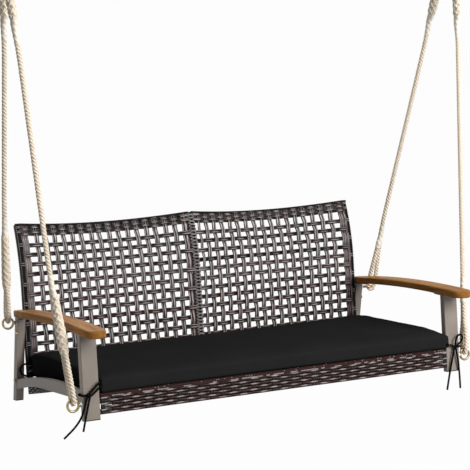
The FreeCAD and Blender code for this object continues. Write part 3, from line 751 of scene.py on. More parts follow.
def tube_points(centre: np.ndarray, first: np.ndarray, second: np.ndarray, radius: np.ndarray | float,
                sides: int) -> np.ndarray:
    """Rings of points round a line: the centre plus the radius times a turning mix of two square directions.

    Args:
        centre: Points of the line, with X, Y and Z last.
        first: Unit direction off the line at each point.
        second: Unit direction square to the line and to the first.
        radius: Radius at each point, or one for all.
        sides: Points round each ring.

    Returns:
        The rings, with the side before the last axis.
    """
    turn = 2 * math.pi * np.arange(sides) / sides
    off = np.cos(turn)[:, None] * first[..., None, :] + np.sin(turn)[:, None] * second[..., None, :]
    return centre[..., None, :] + np.asarray(radius, float)[..., None, None] * off


def unit(vectors: np.ndarray) -> np.ndarray:
    """Vectors brought to length one."""
    return vectors / np.linalg.norm(vectors, axis=-1, keepdims=True)


def square_to(line: np.ndarray, towards: np.ndarray) -> tuple[np.ndarray, np.ndarray, np.ndarray]:
    """Directions along a line, and two square to it.

    Args:
        line: Points of the line, with X, Y and Z last.
        towards: The direction that the first square one is nearest to, at each point.

    Returns:
        The tangent and the two square directions.
    """
    tangent = unit(np.gradient(line, axis=-2))
    first = unit(towards - (towards * tangent).sum(-1, keepdims=True) * tangent)
    return tangent, first, np.cross(tangent, first)


def route_curve(name: str, route: np.ndarray) -> bpy.types.Curve:
    """A curve of one open spline that bends smoothly along a route.

    Args:
        name: Name of the curve.
        route: Control points in row metres.

    Returns:
        The curve.
    """
    curve = bpy.data.curves.new(name, "CURVE")
    curve.dimensions = "3D"
    curve.resolution_u = 16
    spline = curve.splines.new("NURBS")
    spline.points.add(len(route) - 1)
    spline.points.foreach_set("co", np.c_[route, np.ones(len(route))].ravel())
    spline.order_u = 3
    spline.use_endpoint_u = True
    return curve


def smooth_line(name: str, route: np.ndarray) -> np.ndarray:
    """Points along the smooth spline that has a route's points as its control points.

    Args:
        name: Name for the passing curve.
        route: Control points in row metres.

    Returns:
        Points along the spline, in order.
    """
    curve = route_curve(name, route)
    holder = linked(name, curve)
    line = bpy.data.meshes.new_from_object(holder)
    points = mesh_points(line)
    bpy.data.objects.remove(holder)
    bpy.data.meshes.remove(line)
    bpy.data.curves.remove(curve)
    return points


def evenly(line: np.ndarray, step: float) -> tuple[np.ndarray, np.ndarray]:
    """Points at even steps along a line.

    Args:
        line: Points of the line, one row each.
        step: Length of a step.

    Returns:
        The points and the length at each.
    """
    length = np.concatenate([[0.0], np.cumsum(np.linalg.norm(np.diff(line, axis=0), axis=1))])
    run = np.linspace(0, length[-1], max(2, round(length[-1] / step)))
    return np.stack([np.interp(run, length, line[:, axis]) for axis in range(3)], -1), run


@dataclass
class WovenBack:
    """The back's woven strands, wrapped edges and laced centre.

    The upright next to the centre has its own place and width in each half. What lies under the cushion shade
    heights is behind the cushion, and its painted highlight streaks fade there into painted shade.
    """

    form: BackForm
    rear_inner: float = 599.0
    wrap_depth: float = 21.4
    wrap_ridge: float = 6.2
    lattice_outer: float = 563.0
    lattice_inner: float = 25.0
    lattice_low: float = 40.0
    lattice_high: float = 437.0
    columns: int = 17
    lattice_rows: int = 13
    first_row: float = 4.0
    border_row: float = 7.9
    bottom_rows: int = 5
    top_rows: int = 5
    upright_width: float = 16.0
    cross_width: float = 14.2
    border_width: float = 8.4
    bundle_width: float = 7.8
    bundle_out: float = 9.5
    bundle_rise: float = 2.2
    left_inner: tuple[float, float] = (24.5, 19.0)
    right_inner: tuple[float, float] = (29.5, 11.0)
    strand_thick: float = 2.7
    weave_middle: float = 2.0
    weave_swing: float = 1.7
    end_gap: float = 1.5
    tuck_gap: float = 0.6
    cross_start: float = 11.0
    level_behind: float = 4.8
    cushion_shade_heights: tuple[float, float] = (62.0, 88.0)
    lace_ridge: float = 8.6
    lace_pitch: float = 10.8
    lace_reach: float = 12.2
    sides: int = 12
    seed: int = 11

    def row_places(self) -> tuple[np.ndarray, np.ndarray]:
        """Every crosswise strand's length up the back, from the foot, and its width.

        Returns:
            The lengths and the widths.
        """
        pitch = (self.lattice_high - self.lattice_low) / self.lattice_rows
        low = self.first_row + self.border_row * np.arange(self.bottom_rows)
        middle = self.lattice_low + pitch * np.arange(1, self.lattice_rows)
        high = self.lattice_high + self.first_row + self.border_row * np.arange(self.top_rows)
        widths = np.repeat([self.border_width, self.cross_width, self.border_width],
                           [len(low), len(middle), len(high)])
        return np.concatenate([low, middle, high]), widths

    def inner(self, side: Side) -> tuple[float, float]:
        """Place and width of the upright next to the centre."""
        return self.left_inner if side is Side.LEFT else self.right_inner

    def column_places(self, side: Side) -> np.ndarray:
        """Every upright's distance from the middle, from the side bundle in to the centre.

        Args:
            side: Which half.

        Returns:
            The distances.
        """
        pitch = (self.lattice_outer - self.lattice_inner) / self.columns
        inner = self.lattice_outer - pitch * np.arange(1, self.columns)
        return np.concatenate([[self.lattice_outer + self.bundle_out], inner, [self.inner(side)[0]]])

    @staticmethod
    def wave(places: np.ndarray, crossings: np.ndarray) -> np.ndarray:
        """Over and under: the cosine of a phase that grows by half a turn per crossing, squared off a bit.

        Args:
            places: Places along a strand.
            crossings: Places where it is crossed.

        Returns:
            A number from -1 to 1 for each place.
        """
        order = np.argsort(crossings)
        phase = np.interp(places, crossings[order], np.arange(len(crossings)) * math.pi)
        return np.tanh(1.7 * np.cos(phase)) / math.tanh(1.7)

    def uprights(self, side: Side, rng: np.random.Generator) -> None:
        """Builds the strands that run up one half, over and under the crosswise ones, and its side bundle.

        Args:
            side: Which half.
            rng: Source of the small differences between strands.
        """
        rows, _ = self.row_places()
        columns = self.column_places(side)
        bundle = columns[0] + self.bundle_width * np.array([-1.0, 0.0, 1.0])
        x = np.concatenate([bundle, columns[1:]])
        count = len(x)
        widths = np.full(count, self.upright_width)
        widths[:3] = self.bundle_width
        widths[-1] = self.inner(side)[1]
        turn = np.concatenate([[1, 1, 1], (-1.0) ** np.arange(1, len(columns))])[:, None]
        along = np.linspace(self.end_gap, self.form.length - self.end_gap, 210)
        wave = self.wave(along, rows)
        over = turn * wave
        depth = self.weave_middle - self.weave_swing * over
        depth[2] -= self.bundle_rise
        drift = rng.normal(0, 0.8, (count, 1)) + 0.9 * np.sin(along / 41 + rng.uniform(0, 6, (count, 1)))
        drift = drift + 0.6 * turn * np.roll(wave, 6)
        drift[:3] *= 0.2
        section = strand_profile(self.sides)
        place = x[:, None, None] + drift[..., None] + widths[:, None, None] * section[:, 0]
        deep = depth[..., None] + self.strand_thick * section[:, 1]
        tone = tones(rng, 0.62, 0.34, count)
        # Painted light: over segments grey and streak as painted highlights, under segments stay dark as
        # painted shade; the streaks are weaker in the borders, stronger towards the top, and the side bundle
        # fades to painted shade behind the cushion.
        painted_light = 1.08 + 0.45 * over + rng.normal(0, 0.15, (count, 1))
        painted_light *= np.where((along > self.lattice_high) | (along < self.lattice_low), 0.22, 1.0)
        painted_light *= np.interp(along, [80, 200, 330], [0.42, 0.78, 1.2])
        painted_light[:3] *= 0.80 * np.interp(along, self.cushion_shade_heights, [0.08, 1.0])
        points = self.form.place(side.value * place, along[:, None], deep)
        wicker_piece(f"{side.word}_back_uprights", points, tone, np.maximum(painted_light, 0),
                     f"{side.word}_back_weave")

    def crosses(self, side: Side, rng: np.random.Generator) -> None:
        """Builds the strands that run across one half and round its edge tube, over and under the uprights.

        Towards the edge a strand's swing grows from the weave's to half the wrapped tube's depth.

        Args:
            side: Which half.
            rng: Source of the small differences between strands.
        """
        rows, widths = self.row_places()
        count = len(rows)
        half_deep = self.wrap_depth / 2
        columns = np.append(self.column_places(side), self.rear_inner - half_deep)
        tuck = self.rear_inner - self.tuck_gap
        x = np.linspace(self.cross_start, tuck, 250)
        turn = (-1.0) ** np.arange(count)[:, None]
        edge = np.interp(x, [self.rear_inner - 25, self.rear_inner - 12], [0, 1])
        end = np.interp(x, [tuck - 5.0, tuck], [0, 1])
        middle = self.weave_middle + (half_deep - self.weave_middle) * edge
        swing = self.weave_swing + (half_deep + 0.4 - self.weave_swing) * edge
        over = turn * self.wave(x, columns) * (-1.0) ** (len(columns) - 1)
        depth = middle - swing * over * (1 - 0.55 * end)
        drift = rng.normal(0, 0.55, (count, 1)) + 0.5 * np.sin(x / 47 + rng.uniform(0, 6, (count, 1)))
        section = strand_profile(self.sides)
        place = rows[:, None, None] + drift[..., None] + widths[:, None, None] * section[:, 0]
        place = np.clip(place, 0.5, self.form.length - 0.5)
        deep = depth[..., None] + self.strand_thick * section[:, 1]
        redder = np.interp(rows, [60, 250, 420], [0.66, 0.50, 0.24])
        tone = tones(rng, redder, 0.16, count, 0.8)
        narrow = (widths < self.cross_width)[:, None]
        # Painted highlight on the crest of each over segment, sharper and stronger on the narrow border rows.
        shown = np.where(narrow, 0.95, 0.50) * np.maximum(over, 0) ** np.where(narrow, 7.0, 2.0)
        painted_light = 0.08 + shown + rng.normal(0, 0.06, (count, 1))
        points = self.form.place(side.value * x[:, None], place, deep)
        wicker_piece(f"{side.word}_back_crosses", points, tone, np.clip(painted_light, 0, 1))

    def sleeves(self, side: Side) -> None:
        """Builds the wrapped tubes round one half: ridged sleeves up its side and along its top and bottom.

        Args:
            side: Which half.
        """
        section = box_profile(24)
        half_deep = self.wrap_depth / 2
        along = np.linspace(0.2, self.form.length - 0.2, 330)
        swell = ridges(along, self.wrap_ridge, 0.07)
        x = self.rear_inner - half_deep + half_deep * section[:, 0] * swell
        depth = half_deep + half_deep * section[:, 1] * swell
        upright = self.form.place(side.value * x, along[:, None], depth)
        span = np.linspace(8.0, self.rear_inner - 8.0, 330)
        swell = ridges(span, self.wrap_ridge, 0.05)
        deep = (self.wrap_depth - self.level_behind) / 2
        level = [self.form.place(side.value * span[:, None], middle + half_deep * section[:, 0] * swell,
                                 self.level_behind + deep + deep * section[:, 1] * swell)
                 for middle in (half_deep + 0.3, self.form.length - half_deep - 0.3)]
        # Painted highlights: glints on the side sleeve's ridges, fading to painted shade behind the cushion;
        # the top and bottom sleeves stay dark.
        painted_light = np.full((3, len(along)), 0.04)
        sleeve_glints = np.abs(np.sin(math.pi * along / self.wrap_ridge)) ** 3
        painted_light[0] += 0.7 * sleeve_glints * np.interp(along, self.cushion_shade_heights, [0, 1])
        wicker_piece(f"{side.word}_back_sleeves", np.stack([upright, *level]), np.array([0.05, 0.2, 0.2]),
                     painted_light, f"{side.word}_back_border")

    def top_rolls(self) -> None:
        """Builds the smooth rolled edge along the top of both halves: a round strand along the scoops."""
        x = np.linspace(6.0, self.rear_inner - self.end_gap, 200)
        turn = 2 * math.pi * np.arange(14) / 14
        along = self.form.length - self.end_gap + 4.3 * np.cos(turn)
        depth = 4.0 + 6.2 * np.sin(turn)
        points = [self.form.place(side.value * x[:, None], along, depth) for side in Side]
        wicker_piece("back_top_rolls", np.stack(points), 0.05, 0.05)

    def lacing(self) -> None:
        """Builds the centre tube's wrapped sleeve, and two laces that cross over and over in front of it.

        A lace swings to and fro as a sine of its length, and dips behind by the square of that.
        """
        section = box_profile(24)
        half = self.wrap_depth / 2
        along = np.linspace(0.2, self.form.length - 0.2, 330)
        swell = ridges(along, self.lace_ridge, 0.10)
        sleeve = self.form.place(half * section[:, 0] * swell, along[:, None],
                                 half + half * section[:, 1] * swell)
        wicker_piece("centre_back_sleeve", sleeve[None], 0.15, 0.1, "centre_back_border")
        run = np.linspace(3.0, self.form.length - 3.0, 560)
        swing = np.array([-1.0, 1.0])[:, None] * np.sin(math.pi * run / self.lace_pitch)
        bulge = -1.9 + 3.2 * swing ** 2
        section = strand_profile(8)
        laces = self.form.place((self.lace_reach * swing)[..., None] + 1.2 * section[:, 0],
                                run[:, None] + 4.6 * section[:, 0], bulge[..., None] + 2.2 * section[:, 1])
        # The laces carry strong painted highlight streaks.
        wicker_piece("centre_back_laces", laces, np.array([0.35, 0.9]), 0.9)

    def build(self) -> None:
        """Builds both halves and the centre."""
        rng = np.random.default_rng(self.seed)
        for side in Side:
            self.uprights(side, rng)
            self.crosses(side, rng)
            self.sleeves(side)
        self.lacing()
        self.top_rolls()


@dataclass
class WovenSeat:
    """The front apron, the seat deck, the wrapped side tubes of the seat and the strips under them."""

    half_width: float = 584.0
    apron_low: float = 14.0
    apron_high: float = 64.0
    apron_row: float = 8.3
    apron_count: int = 6
    stake_pitch: float = 34.0
    stake_width: float = 13.0
    stakes_each_way: int = 17
    deck_top: float = 70.0
    deck_low: float = 64.0
    deck_rear: float = 530.0
    deck_row_pitch: float = 16.0
    deck_stakes: int = 35
    deck_swing: float = 1.4
    tube_inner: float = 579.0
    tube_outer: float = 599.0
    tube_low: float = 44.0
    tube_run: tuple[float, float] = (24.0, 572.0)
    wrap_ridge: float = 7.0
    wrap_thick: float = 1.2
    skirt_front: float = 329.0
    skirt_rear: float = 565.5
    skirt_middle: float = 589.0
    skirt_rows: int = 5
    skirt_pitch: float = 18.0
    skirt_edge: tuple[tuple[float, float], ...] = ((325.0, 44.0), (451.0, 25.0), (566.0, 9.0))
    seed: int = 23

    @property
    def row_heights(self) -> np.ndarray:
        """Heights of the apron's rows."""
        return self.apron_low + self.apron_row * (0.5 + np.arange(self.apron_count))

    def apron_rows(self, rng: np.random.Generator) -> None:
        """Builds the strands along the front edge, woven over upright stakes; the top ones roll over it.

        A row's depth is the cosine of its place over the stake pitch, squared off a little, and every second
        row is turned over. A strand is round, with its points gathered to its front and back, where its
        painted highlight streaks then lie close.

        Args:
            rng: Source of the small differences between strands.
        """
        x = np.linspace(-self.half_width, self.half_width, 500)
        count = self.apron_count
        even = 2 * math.pi * (np.arange(16) + 0.5) / 16
        gathered = even + 0.40 * np.sin(2 * even)
        section = np.stack([np.cos(gathered), np.sin(gathered)], -1) / 2
        slip = rng.normal(0, 1.5, (count, 1))
        beat = (-1.0) ** np.arange(count)[:, None] * np.cos(math.pi * (x + slip) / self.stake_pitch)
        depth = -0.2 - 1.25 * np.tanh(2.2 * beat) / math.tanh(2.2)
        height = self.row_heights[:, None] + rng.normal(0, 0.3, (count, 1))
        height = height + 0.4 * np.sin(x / 60 + rng.uniform(0, 6, (count, 1)))
        woven = grid(x[:, None], depth[..., None] + 2.7 * section[:, 1],
                     height[..., None] + 7.7 * section[:, 0])
        roll = np.radians([4.0, 44.0, 84.0])[:, None, None]
        wide = 6.6 * section[:, 0]
        thick = 2.6 * section[:, 1]
        rim = grid(x[:, None], 8.0 - 9.2 * np.cos(roll) + wide * np.sin(roll) - thick * np.cos(roll),
                   self.deck_top - 6.0 + 8.2 * np.sin(roll) + wide * np.cos(roll) + thick * np.sin(roll))
        tone = np.append(tones(rng, 0.60, 0.16, count, 0.8), [0.64, 0.66, 0.62])
        # Painted highlights on the crests of the over segments, and painted glints as dashes and scattered
        # points on the rim strands.
        crest = np.maximum(0, beat) ** 2.2
        rim_glints = rng.random((3, len(x))) > np.array([[1.0], [0.94], [0.96]])
        rim_glints[0] = np.repeat(rng.random(len(x) // 5) > 0.42, 5)
        painted_light = np.concatenate([0.16 + 1.2 * crest, 0.04 + 0.9 * rim_glints])
        wicker_piece("front_apron_rows", np.concatenate([woven, rim]), tone, np.clip(painted_light, 0, 1),
                     "front_apron_weave")

    def apron_stakes(self, rng: np.random.Generator) -> None:
        """Builds the stakes that pass behind and before the apron's rows, and the wide dark backing.

        Args:
            rng: Source of the small differences between strands.
        """
        order = np.arange(-self.stakes_each_way, self.stakes_each_way + 1)
        middle = np.append(order * self.stake_pitch, 0.0)
        wide = np.append(np.full(len(order), self.stake_width), 2 * self.half_width - 2)
        up = np.linspace(self.apron_low + 1.5, self.apron_high, 40)
        phase = np.interp(up, self.row_heights, np.arange(self.apron_count) * math.pi)
        depth = -0.2 + np.cos(phase) * (-1.0) ** order[:, None]
        depth = np.concatenate([depth, np.full((1, len(up)), 2.4)])
        section = strand_profile(8)
        points = grid(middle[:, None, None] + wide[:, None, None] * section[:, 0],
                      depth[..., None] + 2.0 * section[:, 1], up[:, None])
        tone = np.append(tones(rng, 0.9, 0.1, len(order)), 0.3)
        wicker_piece("front_apron_stakes", points, tone, 0.0)

    @staticmethod
    def weave(strands: np.ndarray, crossings: np.ndarray, along: np.ndarray) -> np.ndarray:
        """Over and under: the cosine of half a turn per crossing, turned over for every second strand.

        Args:
            strands: Places of the strands.
            crossings: Places where they are crossed.
            along: Places along each strand.

        Returns:
            A number from -1 to 1 for each strand and place.
        """
        phase = np.interp(along, crossings, np.arange(len(crossings)) * math.pi)
        return (-1.0) ** np.arange(len(strands))[:, None] * np.cos(phase)

    def deck(self, rng: np.random.Generator) -> None:
        """Builds the plain-woven deck under the cushion: rows along the bench and stakes from front to back.

        Args:
            rng: Source of the small differences between strands.
        """
        half = self.half_width - 1.0
        middle = (self.deck_low + self.deck_top) / 2
        rows = np.arange(14.0, self.deck_rear - 4.0, self.deck_row_pitch)
        stakes = np.linspace(-half + 10, half - 10, self.deck_stakes)
        section = strand_profile(8)
        thick = 2.3 * section[:, 1]
        x = np.linspace(-half, half, 150)
        height = middle + self.deck_swing * self.weave(rows, stakes, x)
        points = grid(x[:, None], rows[:, None, None] + 13.0 * section[:, 0], height[..., None] + thick)
        wicker_piece("seat_deck_rows", points, tones(rng, 0.4, 0.25, len(rows)), node="seat_weave")
        y = np.linspace(6.0, self.deck_rear, 140)
        height = middle - self.deck_swing * self.weave(stakes, rows, y)
        points = grid(stakes[:, None, None] + 15.0 * section[:, 0], y[:, None], height[..., None] + thick)
        wicker_piece("seat_deck_stakes", points, tones(rng, 0.4, 0.25, len(stakes)))

    def side_wraps(self) -> None:
        """Builds the strand wound closely round the two side tubes of the seat, as ridged sleeves."""
        section = box_profile(20)
        y = np.linspace(*self.tube_run, 420)
        swell = ridges(y, self.wrap_ridge, 0.06)
        middle = (self.tube_inner + self.tube_outer) / 2 - 1.3
        size = (self.tube_outer - self.tube_inner) / 2 + self.wrap_thick
        height = self.tube_low + size - self.wrap_thick + size * section[:, 1] * swell
        x = middle + size * section[:, 0] * swell
        points = [grid(side.value * x, y[:, None], height) for side in Side]
        wicker_piece("seat_side_wraps", np.stack(points), 0.2, 0.1)

    def skirt(self, side: Side, rng: np.random.Generator) -> None:
        """Builds the woven strip under one side tube: rows that fan from its level top to its falling edge.

        A row's height is a share of the drop from the top to the parabola through three points of the lower
        edge, and its depth is the cosine of its place over the stake pitch.

        Args:
            side: Which side.
            rng: Source of the small differences between strands.
        """
        y = np.linspace(self.skirt_front, self.skirt_rear, 160)
        order = np.arange(self.skirt_rows)[:, None]
        lower = np.polyval(np.polyfit(*np.transpose(self.skirt_edge), 2), y)
        height = self.tube_low - 0.4 + (lower - self.tube_low + 0.8) * ((order + 0.5) / self.skirt_rows)
        wide = np.maximum(1.2, (self.tube_low - lower) / self.skirt_rows * 0.96)
        over = (-1.0) ** order * np.cos(math.pi * y / self.skirt_pitch)
        section = strand_profile(10)
        x = self.skirt_middle + 0.75 * over
        points = grid(side.value * (x[..., None] + 1.7 * section[:, 1]), y[:, None],
                      height[..., None] + wide[:, None] * section[:, 0])
        # A faint painted highlight where a row lies over.
        wicker_piece(f"{side.word}_side_skirt_rows", points, tones(rng, 0.1, 0.1, self.skirt_rows, 0.7),
                     0.05 + 0.03 * over, f"{side.word}_side_skirt")

    def build(self) -> None:
        """Builds the apron, the deck, the wraps and the side strips."""
        rng = np.random.default_rng(self.seed)
        self.apron_rows(rng)
        self.apron_stakes(rng)
        self.deck(rng)
        self.side_wraps()
        for side in Side:
            self.skirt(side, rng)


@dataclass
class Rope:
    """One three-strand rope with an eye spliced at each end.

    The route at each eye is a list of (lateral, along) places from the wire's centre: the short tail beside
    the standing part, round the wire, and back up into the standing part. A splice's four lengths from the
    wire are its tail's end, its throat, where the two ropes have joined, and where the rope is straight.
    """

    end: End
    side: Side
    low: tuple[float, float, float]
    high: tuple[float, float, float]
    lower_splice: tuple[float, float, float, float]
    leg_turn: float = 0.0
    throat_twist: float = 1.0
    girth: float = 1.0
    braided: bool = True
    level_eye: bool = False
    stand_off: float = 0.0
    upper_splice: tuple[float, float, float, float] = (285.0, 165.0, 300.0, 365.0)
    diameter: float = 15.5
    gap: float = 0.45
    seat_gap: float = 0.4
    eye_wire: float = 7.0
    eye_flare: float = 0.2
    eye_reach: float = 45.0
    bar_wire: float = 12.0
    lead: float = 65.0
    step: float = 0.0028
    lay: float = -32.0
    strand_radius: float = 3.95
    helix_radius: float = 3.8
    tucks: int = 5
    tuck_pitch: float = 104.0
    tuck_radius: float = 3.4
    tuck_beat: float = 0.9
    core_out: float = 2.3
    whip_lay: float = 52.0
    whip_radius: float = 7.6
    whip_aside: float = 4.6

    @property
    def name(self) -> str:
        """The rope's node name."""
        return f"{self.end.word}_{self.side.word}_rope"

    @property
    def up(self) -> np.ndarray:
        """Direction from the lower eye to the upper one."""
        return unit(np.subtract(self.high, self.low))

    def away(self, upper: bool) -> np.ndarray:
        """Direction from an eye along the rope."""
        return -self.up if upper else self.up

    def piece_name(self, upper: bool, word: str) -> str:
        """Name of a piece at one end of the rope."""
        return f"{self.name}_{'upper' if upper else 'lower'}_{word}"

    def splice(self, upper: bool) -> tuple[float, float, float, float]:
        """A splice's four lengths from the wire."""
        return self.upper_splice if upper else self.lower_splice

    def across(self, upper: bool, twist: np.ndarray | float = 1.0) -> np.ndarray:
        """Direction in which an eye's two legs lie side by side, made square to the rope.

        Args:
            upper: Whether this is the eye under the hanger bar.
            twist: Share of the legs' turn about the rope, at one place or several.

        Returns:
            A unit direction for each share.
        """
        level = self.level_eye and not upper
        wide = np.array([self.side.value, 0.0, 0.0] if level else [0.0, 1.0, 0.0])
        wide = unit(wide - self.up * (wide @ self.up))
        most = 0.0 if upper else math.radians(self.leg_turn)
        turn = np.asarray(most * np.asarray(twist, float))[..., None]
        return np.cos(turn) * wide + np.sin(turn) * np.cross(self.up, wide)

    def axis(self, along: np.ndarray, upper: bool) -> np.ndarray:
        """Points up the rope's middle, which leaves a lower splice a little to one side.

        Args:
            along: Lengths from the wire.
            upper: Whether they are from the wire of the hanger bar.

        Returns:
            A point for each length.
        """
        start = np.array(self.high if upper else self.low)
        aside = (0.0 if upper else self.stand_off) * np.clip(along / self.lower_splice[3], 0, 1)
        return start + along[..., None] * self.away(upper) + aside[..., None] * np.array([1.0, 0.0, 0.0])

    def eye(self, upper: bool) -> np.ndarray:
        """Control points of one eye, from the tail's end to the straight part.

        Args:
            upper: Whether this is the eye under the hanger bar.

        Returns:
            The points, one row each.
        """
        tail, throat, joined, straight = self.splice(upper)
        beside = (self.diameter + self.gap) / 2
        wrap = (self.bar_wire if upper else self.eye_wire) / 2 + self.diameter / 2 + self.seat_gap
        flare = wrap + self.eye_flare
        table = np.array([(-beside, tail), (-beside, throat), (-flare, self.eye_reach), (-wrap, -wrap),
                          (wrap, -wrap), (flare, self.eye_reach), (beside, throat), (beside, joined),
                          (0, straight), (0, straight + self.lead)])
        twist = np.array([1, self.throat_twist, 0, 0, 0, 0, self.throat_twist, 1, 1, 1])
        return self.axis(table[:, 1], upper) + table[:, :1] * self.across(upper, twist)

    def line(self) -> tuple[np.ndarray, np.ndarray]:
        """The rope's smooth centre line in metres at even steps, and the length at each point."""
        route = np.concatenate([self.eye(False), self.eye(True)[::-1]]) * MM
        return evenly(smooth_line(self.name + "_route", route), self.step)

    def strands(self) -> tuple[bpy.types.Object, np.ndarray, float]:
        """Three strands wound round the centre line.

        Each strand's own line is a helix: the centre plus the helix radius in a direction that turns once
        per lay. That turn is measured from one eye's flat side, and past mid rope from the other's.

        Returns:
            The piece, the centre line, and its length.
        """
        line, run = self.line()
        share = np.clip((run / run[-1] - 0.4) / 0.2, 0, 1)[:, None]
        blend = share * share * (3 - 2 * share)
        flat = [np.cross(self.up, self.across(upper)) for upper in (False, True)]
        flip = 1.0 if flat[0] @ flat[1] >= 0 else -1.0
        tangent, normal, binormal = square_to(line, unit((1 - blend) * flat[0] + blend * flip * flat[1]))
        turn = 2 * math.pi * (run / (self.lay * MM) + np.arange(3)[:, None] / 3)
        radial = np.cos(turn)[..., None] * normal + np.sin(turn)[..., None] * binormal
        around = np.cos(turn)[..., None] * binormal - np.sin(turn)[..., None] * normal
        slope = 2 * math.pi * self.helix_radius / self.lay
        side = unit(around - slope * tangent)
        swell = self.strand_radius * MM * (1 + 0.03 * np.sin(run * 61 + np.arange(3)[:, None] * 2.1))
        points = tube_points(line + self.helix_radius * MM * radial, radial, side, swell, 10)
        piece = swept_piece(self.name + "_strands", points, ROPE, run=np.tile(run, (3, 1)))
        return piece, line, float(run[-1])

    def collar(self, along: np.ndarray, upper: bool) -> tuple[np.ndarray, np.ndarray, np.ndarray]:
        """The middle line of a splice and its two square directions.

        Args:
            along: Lengths from the wire.
            upper: Whether this is the splice under the hanger bar.

        Returns:
            A point for each length, and the directions across and through the splice.
        """
        across = self.across(upper)
        return self.axis(along, upper), across, np.cross(self.away(upper), across)

    def braid(self, upper: bool) -> None:
        """Builds a splice's tucked strands: half of them wound each way, over and under, round a core.

        The radius falls from the throat to the tail's end, and beats by a cosine once per pair of crossings,
        opposite for the two ways round.

        Args:
            upper: Whether this is the splice under the hanger bar.
        """
        tail, throat, _, _ = self.splice(upper)
        stops = [throat - 22, throat - 8, throat + 16, tail, tail + 8]
        along = np.linspace(stops[0], stops[-1], 200)
        girth = 1.0 if upper else self.girth
        wide = np.interp(along, stops, [11.0, 13.0, 14.2, 13.0, 8.6])
        deep = np.interp(along, stops, [7.4, 10.6 * girth, 12.4 * girth, 8.0, 4.6])
        way = np.repeat([1.0, -1.0], self.tucks)[:, None]
        phase = np.tile(np.arange(self.tucks), 2)[:, None] * 2 * math.pi / self.tucks
        turn = way * 2 * math.pi * along / self.tuck_pitch + phase
        beat = self.tuck_beat * way * np.cos(2 * math.pi * self.tucks * along / self.tuck_pitch)
        centre, across, through = self.collar(along, upper)
        outward = np.cos(turn)[..., None] * across + np.sin(turn)[..., None] * through
        line = (centre + ((wide + beat) * np.cos(turn))[..., None] * across
                + ((deep + beat) * np.sin(turn))[..., None] * through)
        _, first, second = square_to(line, outward)
        points = tube_points(line, first, second, self.tuck_radius, 10)
        core = tube_points(centre, (wide + self.core_out)[:, None] * across,
                           (deep + self.core_out)[:, None] * through, 1.0, 10)
        points = np.concatenate([points, core[None]])
        swept_piece(self.piece_name(upper, "splice"), points * MM, SPLICE)

    def whipping(self, upper: bool) -> None:
        """Builds the tapered end of a splice: three lobes that wind with the rope and shrink to its size.

        Args:
            upper: Whether this is the splice under the hanger bar.
        """
        tail, _, joined, straight = self.splice(upper)
        along = np.linspace(tail - 14, straight - 4, 90)
        left = (1 - (along - along[0]) / (along[-1] - along[0])) ** 1.5
        centre, across, through = self.collar(along, upper)
        aside = np.interp(along, [tail + 2, joined + 12, straight], [0.0, self.whip_aside, 0.0])
        middle = centre + aside[:, None] * across
        turn = 2 * math.pi * np.arange(30) / 30
        lobe = 0.5 * np.cos(3 * (turn + 2 * math.pi * along[:, None] / self.whip_lay))
        wide = (self.whip_radius + 8.9 * left)[:, None] + lobe
        deep = (self.whip_radius + 2.6 * left)[:, None] + lobe
        points = (middle[:, None] + (wide * np.cos(turn))[..., None] * across
                  + (deep * np.sin(turn))[..., None] * through)
        swept_piece(self.piece_name(upper, "whipping"), points[None] * MM, WHIPPING)

    def build(self) -> None:
        strands, line, length = self.strands()
        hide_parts(self.name)
        for upper in (False, True):
            if upper or self.braided:
                self.braid(upper)
            self.whipping(upper)
        LOG.info("%s: %.3f m long", self.name, length)


